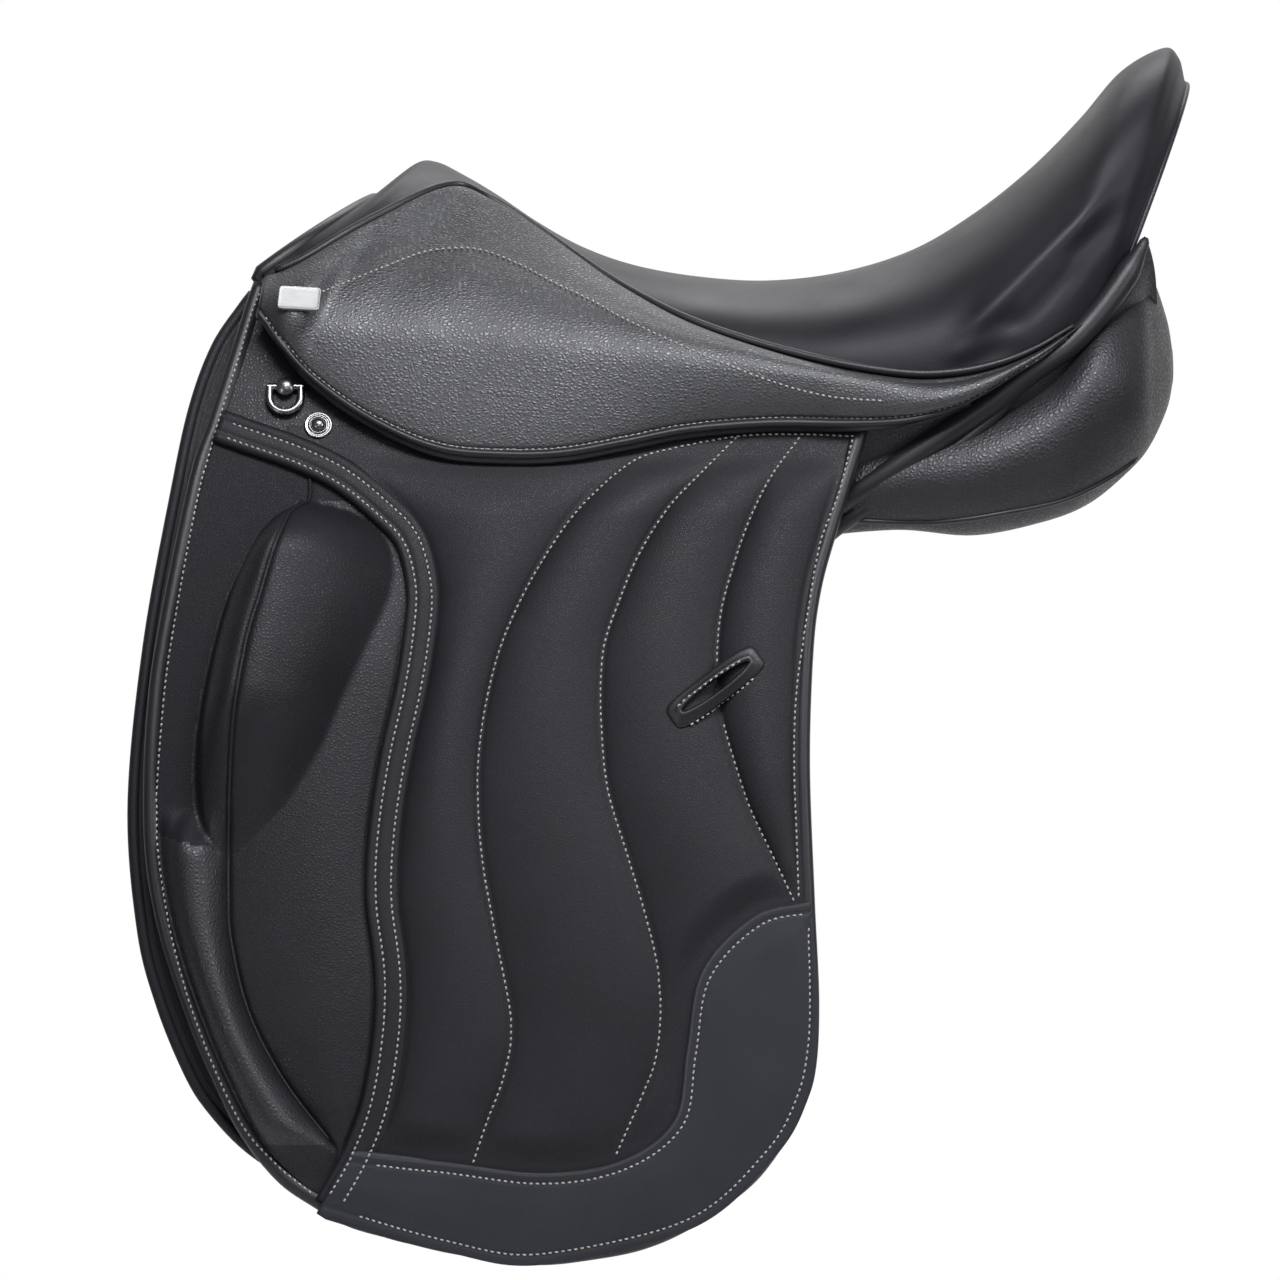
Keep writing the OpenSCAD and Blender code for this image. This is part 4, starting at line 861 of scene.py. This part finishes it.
def pad_height(x, z):
    """Leather over the block: the block, a soft roll low in front, a crown behind the seam and creases."""
    seam = look(SEAM_BY_HEIGHT, z)
    front = look(FLAP_FRONT, z) + 8
    band = look(BAND_BY_HEIGHT, z)
    ahead = np.clip((x - front) / np.maximum(seam - front, 1), 0, 1)
    behind = np.clip((x - seam) / np.maximum(band - seam, 1), 0, 1)
    low = ease((-150 - z) / 26) * ease((z + 324) / 26)
    roll = PAD_ROLL * low * np.sin(np.pi * ahead**0.85) ** 0.8
    crest = PAD_CROWN * ease((-30 - z) / 60) * ease((z + 318) / 30) * np.sin(np.pi * behind**1.3) ** 0.6
    piping = PAD_SEAM * np.exp(-((x - seam) / 1.8) ** 2)
    piping = piping * (0.35 + 0.65 * ease((-8 - z) / 16)) * ease((z + 312) / 10)
    tuck = np.exp(-((z + 163) / 12) ** 2) * ease((ahead - 0.05) / 0.2)
    pucker = PAD_PUCKER * tuck * np.sin(0.5 * (x - 0.4 * z)) * ease((seam + 14 - x) / 10)
    return np.maximum(1.4 + knee_height(x, z) + roll + crest + piping + pucker, 0.7)


z = np.concatenate([np.linspace(25.5, -8, 26), np.linspace(-10.5, -176, 92), np.linspace(-179, -331, 60)])
left = look(FLAP_FRONT, z) + look([(25, 6.6), (-280, 6.8), (-310, 8.5), (-331, 11)], z)
right = look(BAND_BY_HEIGHT, z) + look([(25, 10), (0, 9), (-30, 6), (-60, 5), (-331, 5)], z)
seam = np.clip(look(SEAM_BY_HEIGHT, z), left + 0.35 * (right - left), right - 0.15 * (right - left))
ahead = 1 - np.linspace(1, 0, 54)[None] ** 1.5
behind = steps(72)[None, 1:] ** 1.6
x = np.concatenate([mix(left[:, None], seam[:, None], ahead), mix(seam[:, None], right[:, None], behind)], 1)
zz = z[:, None]
knee_shape = on_flap(x, zz, pad_height(x, zz))
seam_z = np.linspace(4, -306, 200)
seam_x = look(SEAM_BY_HEIGHT, seam_z)
seam_cord = cord(flap_point(seam_x, seam_z, FLAP_OUT + pad_height(seam_x, seam_z) + 0.5), 1.0, 10)
knee_shape = joined([knee_shape, seam_cord])
knee_middles = middles(knee_shape)
knee_x, knee_z = knee_middles[:, 0], knee_middles[:, 2]
tuck_z = -162 - 0.24 * (knee_x - look(FLAP_FRONT, knee_z))
flat_part = (knee_x < look(KNEE_FRONT, knee_z) - 1) & (knee_z > tuck_z) | (knee_z > -8)
roll_part = (knee_x < look(SEAM_BY_HEIGHT, knee_z) - 1) & (knee_z < tuck_z) & (knee_z > -308)
pair("knee_pad_leather", knee_shape, block_leather, nodes=["knee_pad"], bend="flap",
     accents=[(pad_leather, flat_part), (roll_leather, roll_part)])
z = np.linspace(-22, -164, 50)[:, None]
x = mix(look(KNEE_FRONT, z) + 5, look(KNEE_REAR, z) - 6, steps(24)[None])
core = 0.6 * knee_height(x, z) * ease((x - look(KNEE_FRONT, z)) / 12) + 0.2
pair("knee_block_foam", on_flap(x, z, 0.6 + core, 0.3), seat_foam_stuff, body="flap",
     nodes=["knee_block"])


# Quilted facing, the sewn band along its front edge, the patch and the keeper
FACING_LEFT = [
    (20, -218), (17, -211), (7, -190), (-10, -170), (-27, -158), (-50, -152), (-70, -153), (-96, -157),
    (-128, -164), (-163, -169), (-194, -170), (-226, -166), (-252, -166), (-285, -171), (-310, -180),
    (-332, -192), (-350, -172), (-362, -106)]
QUILT_RISE = 6.5
z = np.linspace(28, -361, 214)
rear_edge = look(FLAP_REAR, z) - 5.5
first = look(FACING_LEFT, z)
# Lines between the channels, from the rear edge forwards, each with its least gap to the one behind it
guides = [rear_edge]
for line, gap in ((REAR_STITCH, 1.5), (LINE_3, 3), (LINE_2, 4), (LINE_1, 4)):
    guides.insert(0, np.minimum(look(by_height(line), z), guides[0] - gap))
guides = np.maximum.accumulate([first, np.minimum(first + 7, guides[0] - 4)] + guides)
guides = np.minimum(guides, np.maximum(rear_edge, first))
counts = (3, 30, 30, 30, 26, 4)
xs, bulge = [], []
for k, count in enumerate(counts):
    s = np.linspace(0, 1, count, endpoint=False)
    start, end = guides[k][:, None], guides[k + 1][:, None]
    xs.append(mix(start, end, s[None]))
    wide = np.clip((end - start) / 26, 0, 1)
    puff = np.sin(np.pi * s[None]) ** 0.62 if 0 < k < 5 else 0 * s[None]
    bulge.append(wide * puff)
x = np.concatenate(xs + [guides[-1][:, None]], 1)
bulge = np.concatenate(bulge + [0 * z[:, None]], 1)
zz = z[:, None]
rim = resample(PATCH_UPPER, 4)
far = np.min(np.hypot(x[..., None] - rim[:, 0], zz[..., None] - rim[:, 1]), -1)
order = np.argsort(rim[:, 0])
below = zz < np.interp(x, rim[order, 0], rim[order, 1])
far = np.where(below, 0, far)
lift = 2.4 - 2.0 * ease(zz / 18) + QUILT_RISE * bulge * ease((far - 5) / 14) * ease((16 - zz) / 34)
facing_shape = on_flap(x, zz, lift)
pair("quilted_facing", facing_shape, flap_leather, nodes=["flap_facing"], bend="flap")
BAND_PROFILE = [
    (1.4, 0.3), (0.2, 0.8), (-0.4, 2.2), (-0.2, 3.8), (0.7, 5.0), (2.0, 5.4), (3.4, 5.0), (4.4, 4.3),
    (5.4, 4.8), (7, 5.0), (9.5, 4.8), (11.4, 4.2), (12.4, 3.3), (13.4, 3.4), (14.8, 2.6), (16, 1.4),
    (15, 0.3), (8, 0.3)]
band_path = resample(BAND, 2.5)
band_shape = ribbon(band_path, BAND_PROFILE)
pair("facing_band", band_shape, flap_leather, bend="flap")

u = np.linspace(0, len(PATCH_UPPER) - 1, 150)
upper, lower = spline(PATCH_UPPER, u), spline(PATCH_LOWER, u)
width = np.linalg.norm(lower - upper, axis=1)[:, None]
near = np.array((0, 0.8, 1.8, 3.0, 4.0, 5.0, 6.5))[None]
s = np.concatenate([near / width, mix(6.5 / width, 1 - 6.5 / width, steps(16)[None, 1:-1]),
                    1 - near[:, ::-1] / width], 1)
s = np.sort(np.clip(s, 0, 1), 1)
at = mix(upper[:, None], lower[:, None], s[..., None])
inside = np.minimum(s, 1 - s) * width
over_band = ease((u - 7.1) / 0.35)[:, None]
lift = 4.4 - 0.5 * np.exp(-((inside - 4) / 0.8) ** 2) + 0.7 * ease((inside - 5) / 12) + 1.9 * over_band
patch_shape = on_flap(at[..., 0], at[..., 1], lift, 2.3)
patch_faces = np.arange(len(patch_shape[1]))
cut_rim = (patch_faces < (at.shape[0] - 1) * (at.shape[1] - 1)) & (patch_faces % (at.shape[1] - 1) == 0)
pair("flap_patch_leather", patch_shape, patch_leather, body="flap", nodes=["flap_patch"],
     accents=[(cut_leather, cut_rim)])
upper_row = mix(upper, lower, np.clip(4 / width, 0, 0.45))[3:-5]
lower_row = mix(upper, lower, 1 - np.clip(4.4 / width, 0, 0.45))[3:-5]

KEEPER_AT, KEEPER_TURN, KEEPER_BASE = (-14, -97), np.radians(36), 6.6


def on_keeper(a, b):
    """Distance back and height of a place along and across the keeper."""
    c, s = np.cos(KEEPER_TURN), np.sin(KEEPER_TURN)
    return KEEPER_AT[0] + a * c - b * s, KEEPER_AT[1] + a * s + b * c


turn = around(96)
length, short = np.cos(turn), np.sin(turn)
rim_a, rim_b = 26 * power(length, 0.4), 7.6 * power(short, 0.4)
slit_a, slit_b = 19 * length, 2.6 * short * (1 - 0.25 * length**2)
# Share of the way from the slit to the rim, and distance out
KEEPER_SECTION = [
    (0.10, 0.2), (0.02, 1.8), (0.0, 3.4), (0.08, 4.8), (0.22, 5.2), (0.38, 4.5), (0.55, 3.9), (0.72, 3.6),
    (0.88, 3.2), (0.97, 2.4), (1.0, 1.2), (0.97, 0.1)]
rings = []
for share, out in KEEPER_SECTION:
    at = on_keeper(mix(slit_a, rim_a, share), mix(slit_b, rim_b, share))
    rings.append(flap_point(*at, FLAP_OUT + KEEPER_BASE + out))
loop_faces = np.array(grid_faces(len(rings) + 1, len(turn), closed=True)) % (len(rings) * len(turn))
keeper_shape = facing_out((np.concatenate(rings), loop_faces.tolist()))
pair("keeper_leather", keeper_shape, edge_leather, body="flap", nodes=["keeper"])
a = np.linspace(-19, 19, 12)
keeper_rows = [np.stack(on_keeper(a, s * (6.1 - 1.4 * (a / 22) ** 2)), 1) for s in (-1, 1)]

band_rows = [(band_path + sideways(band_path) * inward)[2:-2] for inward in (4.4, 11.6)]
flap_tree = tree_of(flap_sheet, flap_edge, knee_shape, facing_shape, band_shape, patch_shape, keeper_shape)
# The third line stops at the keeper and goes on below it
third_line = resample(LINE_3, 2)
third_rows = [third_line[third_line[:, 1] > -84], third_line[third_line[:, 1] < -110]]
flap_rows = sewn(flap_tree, FRONT_STITCH, REAR_STITCH, *band_rows, LINE_TOP, LINE_1, LINE_2, *third_rows,
                 upper_row, lower_row, *keeper_rows)
pair("flap_stitches", flap_rows, stitch_thread, bend="flap")


# Girth webs and billets behind the flap
WEB_X, WEB_W, WEB_GAP, TREE_OUT = (-95, -5), 34, 0.8, 25.4
girth = []
for x in WEB_X:
    u = 6.5 if x < -50 else 8.7
    rail = seat_point(u, np.radians(90), TREE_OUT - 2 * WEB_GAP)
    top = seat_point(u, np.radians(78), TREE_OUT - 2 * WEB_GAP)
    knee = flap_point(x, 30, GIRTH_WEB_IN)
    bow = mix(rail, knee, 0.5) + [0, 0, 2]
    route = [top, rail, bow] + [flap_point(x, z, GIRTH_WEB_IN) for z in (30, 15, 0, -20, -40)]
    route = resample(np.array(route)[:, 1:], 4)
    across = x + WEB_W * np.linspace(-0.5, 0.5, 7)
    layers = []
    for d in (GIRTH_WEB_T, 0):
        at = route + d * sideways(route)
        layers.append(np.stack(np.broadcast_arrays(across[None], at[:, :1], at[:, 1:]), -1))
    girth.append(shell(*layers))
pair("girth_web_straps", joined(girth), web_cloth, nodes=["girth_webs"])

BILLET_W, BILLET_TOP, BILLET_LOW, BILLET_TIP, BILLET_ROUND = 25, 12, -322, 22, 0.5
HOLES, FIRST_HOLE, HOLE_PITCH, HOLE_R = 6, 40, 25, 2.5


def billet(x):
    """Strap with a pointed tip and punched holes, bent to the flap's curve."""
    curve = bpy.data.curves.new("billet", "CURVE")
    curve.dimensions = "2D"
    curve.fill_mode = "BOTH"
    curve.extrude = (BILLET_OUT - BILLET_IN) / 2 - BILLET_ROUND
    curve.bevel_depth = BILLET_ROUND
    curve.bevel_resolution = 2
    curve.offset = -BILLET_ROUND
    half, tip = BILLET_W / 2, BILLET_LOW + BILLET_TIP
    sides = [(-half, z) for z in np.linspace(BILLET_TOP, tip, 60)]
    sides += [(-half * 0.8, tip - 9), (-half / 3, BILLET_LOW + 1.5)]
    loops = [sides + [(0, BILLET_LOW)] + [(-a, z) for a, z in sides[::-1]]]
    turn = around(20)
    for k in range(HOLES):
        centre = BILLET_LOW + FIRST_HOLE + k * HOLE_PITCH
        loops.append([(HOLE_R * np.sin(t), centre + HOLE_R * np.cos(t)) for t in turn])
    for loop in loops:
        part = curve.splines.new("POLY")
        part.points.add(len(loop) - 1)
        for point, (a, z) in zip(part.points, loop):
            point.co = (a, z, 0, 1)
        part.use_cyclic_u = True
    holder = bpy.data.objects.new("billet", curve)
    scene.collection.objects.link(holder)
    mesh = bpy.data.meshes.new_from_object(holder.evaluated_get(bpy.context.evaluated_depsgraph_get()))
    at = np.array([v.co for v in mesh.vertices])
    faces = [list(p.vertices) for p in mesh.polygons]
    bpy.data.objects.remove(holder)
    bpy.data.curves.remove(curve)
    bpy.data.meshes.remove(mesh)
    middle = (BILLET_IN + BILLET_OUT) / 2
    return flap_point(x + at[:, 0], at[:, 1], middle + at[:, 2]), faces


for name, x in zip(("front_billet", "rear_billet"), WEB_X):
    pair(f"{name}_leather", facing_out(billet(x)), strap_leather, body=name, nodes=[name])


# Panels and their edge rolls. Sections: middle x, y and z, half height, half thickness, tilt in degrees
PANEL = np.array([
    (-234, 84, 8, 46, 6, 24), (-228, 87, -12, 78, 16, 24), (-212, 89, -28, 96, 24, 24),
    (-150, 92, -32, 100, 26, 25), (-95, 92, -24, 92, 26, 30), (-40, 89, -5, 72, 25, 44),
    (20, 84, 5, 54, 23, 62), (70, 86, 11, 56, 26, 70), (110, 87, 12, 57, 32, 73), (145, 86, 23, 53, 37, 70),
    (170, 81, 40, 48, 45, 62), (190, 70, 54, 46, 39, 42), (199, 59, 60, 42, 30, 32),
    (207, 54, 58, 23, 16, 30), (210, 53, 56, 8, 6, 30)])
# Roll along the panel's upper edge, from behind the flap up to the cantle
PANEL_ROLL = [
    (36, 131, -17), (45, 132, -10), (67, 134, 4), (91, 134, 20), (116, 132, 37), (135, 128, 52),
    (155, 121, 66), (169, 115, 80), (182, 109, 97), (191, 104, 112), (194, 102, 118)]
PANEL_ROLL_R, GULLET_HALF = 6, 32


def panel_point(u, a, grow):
    v = spline(PANEL, u)
    tilt = np.radians(v[..., 5])
    p = (v[..., 3] + grow) * power(np.cos(a), 0.8)
    q = (v[..., 4] + grow) * power(np.sin(a), 0.8)
    y = np.maximum(v[..., 1] + p * np.sin(tilt) + q * np.cos(tilt), GULLET_HALF)
    return np.stack(np.broadcast_arrays(v[..., 0], y, v[..., 2] - p * np.cos(tilt) + q * np.sin(tilt)), -1)


u = np.concatenate([steps(10)[:-1], np.linspace(1, 13, 110), np.linspace(13, 14, 8)[1:]])[:, None]
panel_shape = tube(panel_point(u, around(96)[None], 0.0))
roll_path = resample(PANEL_ROLL, 2)
# Strip of leather that closes the panel above the roll, under the skirt's tail
strip_low = roll_path[(roll_path[:, 0] > 44) & (roll_path[:, 0] < 108)] + [0, -4, 1]
strip_high = np.stack([strip_low[:, 0], 0 * strip_low[:, 0] + 140, np.maximum(strip_low[:, 2] + 3, 39)], 1)
strip = mix(strip_low[:, None], strip_high[:, None], steps(9)[None, :, None])
# Gusset between the roll and the panel below the cantle
share = np.linspace(0, 1, len(roll_path))
gusset_high = roll_path[share > 0.25]
gusset_share = ease((share[share > 0.25] - 0.5) / 0.5)
gusset_u = np.interp(gusset_high[:, 0], PANEL[:, 0], np.arange(len(PANEL))) + 0.8 * gusset_share
gusset_low = panel_point(gusset_u, np.radians(58 + 50 * gusset_share), -1.5)
s = steps(13)[None, :, None]
gusset = mix(gusset_high[:, None], gusset_low[:, None], s) + np.sin(np.pi * s) * np.array((1, 3, 2))
panel_leathers = joined([panel_shape, shell(strip, strip - [0, 1.5, 0]), shell(gusset, gusset - [1, 1.5, 0])])
pair("panel_padding", panel_leathers, panel_leather, nodes=["panel"])
WELT_SHIFT, WELT_R = np.array((3, -1, -8)), 4.2
close = 1 - ease((share - 0.3) / 0.4)
welt_path = roll_path + WELT_SHIFT * close[:, None]
roll_width = PANEL_ROLL_R * (1 - 0.6 * ease((share - 0.9) / 0.1))
rolls = joined([cord(roll_path, roll_width, 20), cord(welt_path, 1.5 + (WELT_R - 1.5) * close, 16)])
pair("panel_edge_roll", rolls, edge_leather, nodes=["panel_roll"])
PANEL_SEAM = [(46, -17), (91, -18), (128, -13), (155, -7), (177, 3), (191, 12)]
seam_points, _ = cast(tree_of(panel_shape), PANEL_SEAM, 3)
pair("panel_seam_piping", cord(seam_points, 1.3, 8), edge_leather)


# Metal on the near face: plate, stud and rosette
def square_to(surface, x, z):
    """Point of a surface, with directions back, up and out there."""
    at, out = (np.array(v) for v in meet(surface, x, z))
    back = unit(np.cross(out, [0, 0, 1]))
    return at, back, np.cross(back, out), out


PLATE_AT, PLATE_TILT = (-212, 88.5), -0.07
PLATE_SECTION = [
    (0.0, 1.0), (0.55, 1.0), (0.8, 1.0), (0.9, 1.05), (0.94, 1.2), (0.97, 1.2), (1.0, 0.9), (1.0, -0.4)]


def name_plate():
    """Plain plate with rounded corners, a raised rim and a satin field."""
    at, back, up, out = square_to(skirt_tree, *PLATE_AT)
    back, up = back + PLATE_TILT * up, up - PLATE_TILT * back
    turn = around(72)
    rim = np.stack([power(np.cos(turn), 0.2), power(np.sin(turn), 0.2)], 1)
    rings = []
    for share, height in PLATE_SECTION:
        flat = rim * [10, 6.6] - rim * [6.6, 6.6] * (1 - max(share, 0.001))
        flat = flat if share > 0.5 else rim * [3.4, 0.02]
        rings.append(at + flat[:, :1] * back + flat[:, 1:] * up + height * out)
    return tube(rings)


single("plain_plates", both_sides(name_plate()), nickel, ["name_plates"])


def lathe(centre, axis, section, sides=40):
    """Turned piece on an axis: radius and height pairs."""
    axis = unit(np.asarray(axis, float))
    across = unit(np.cross(axis, [1, 0, 0.01]))
    over = np.cross(axis, across)
    turn = around(sides)[:, None]
    ring = np.cos(turn) * across + np.sin(turn) * over
    return tube([centre + r * ring + h * axis for r, h in section])


STUD_AT = (-203, 28)
stud_base = flap_point(*STUD_AT, FLAP_OUT + 0.3)
stud_axis = flap_point(*STUD_AT, FLAP_OUT + 1) - flap_point(*STUD_AT, FLAP_OUT)
ROSETTE = [
    (2.2, -0.2), (6.6, -0.2), (6.9, 0.4), (6.7, 1.0), (6.1, 1.3), (5.5, 1.0), (5.1, 0.9), (4.7, 1.1),
    (4.3, 1.5), (3.9, 1.5), (3.6, 1.1), (3.4, 1.0), (2.2, 1.0)]
DOME = [
    (0.9, -4), (1.6, 0.9), (3.1, 1.0), (3.3, 1.4), (3.1, 2.1), (2.5, 2.8), (1.6, 3.3), (0.7, 3.5),
    (0.1, 3.55)]
for name, section, stands_for in (
        ("rosettes", ROSETTE, "point_washers"), ("stud_domes", DOME, "point_screws")):
    turned = both_sides(lathe(stud_base, stud_axis, section))
    single(name, turned, chrome, [stands_for])


# CAD parts that stay, with their materials
KEPT = [
    (beech, "tree"),
    (steel, "head_plate head_plate_rivets stirrup_bar_left stirrup_bar_right stirrup_bar_rivets"),
    (steel, "bar_catch_left bar_catch_right catch_pins"),
    (chrome, "dee_staples dee_ring_left dee_ring_right")]
for material, names in KEPT:
    for name in names.split():
        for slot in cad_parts[name].material_slots:
            slot.material = material


# Floor, light and background
FLOOR_X, FLOOR_Z, FLOOR_RINGS = -50, -620, (1, 500, 950)
turn = around(96)
rings = [np.stack([r * np.cos(turn) + FLOOR_X, r * np.sin(turn), 0 * turn + FLOOR_Z], 1) for r in FLOOR_RINGS]
floor_material, at = start_material("floor")
floor_tone = shade(floor_material, noise(floor_material, at, 8.0), (0.82,) * 3, (0.86,) * 3)
for socket, value in (("Base Color", floor_tone), ("Roughness", 0.8)):
    put(floor_material, floor_material.node_tree.nodes["Principled BSDF"], socket, value)
floor_faces = grid_faces(len(rings), len(turn), closed=True)
make("floor", (np.concatenate(rings), floor_faces), floor_material)


def lamp(name, place_at, size, watts, aim=(-0.05, 0, -0.05)):
    data = bpy.data.lights.new(name, "AREA")
    data.shape = "RECTANGLE"
    data.size, data.size_y = size
    data.energy = watts
    made = bpy.data.objects.new(name, data)
    made.location = place_at
    made.rotation_euler = (Vector(place_at) - Vector(aim)).to_track_quat("Z", "Y").to_euler()
    scene.collection.objects.link(made)


lamp("key_light", (0.3, -1.65, 1.9), (1.6, 0.7), 88)
lamp("brow_light", (0.3, -2.9, 0.9), (1.0, 0.6), 8)
lamp("rear_light", (2.1, -1.5, 0.85), (0.7, 1.0), 24)
lamp("front_light", (-1.5, -2.3, -0.2), (0.3, 0.8), 8)
lamp("back_light", (0.2, 1.6, 2.2), (1.6, 0.8), 24)

world = bpy.data.worlds.new("studio")
scene.world = world
world.use_nodes = True
backdrop = world.node_tree.nodes["Background"]
put(world, backdrop, "Color", (1, 1, 1, 1))
put(world, backdrop, "Strength", 1.0)
soft = node(world, "Background", [("Color", (1, 1, 1, 1)), ("Strength", 0.18)])
# The white backdrop stands behind the saddle: metal and leather reflect it from there
rays = node(world, "LightPath").outputs
direction = node(world, "TexCoord").outputs["Generated"]
depth = node(world, "SeparateXYZ", [(0, direction)]).outputs["Y"]
behind_it = spread(world, depth, 0.35, 0.75, 0.0, 1.0, "SMOOTHSTEP")
mirrored = maths(world, "MULTIPLY", rays["Is Glossy Ray"], behind_it)
seen = maths(world, "MAXIMUM", rays["Is Camera Ray"], rays["Is Transmission Ray"])
seen = maths(world, "MAXIMUM", seen, mirrored)
choice = node(world, "MixShader", [(0, seen), (1, soft.outputs[0]), (2, backdrop.outputs[0])])
put(world, world.node_tree.nodes["World Output"], "Surface", choice.outputs[0])
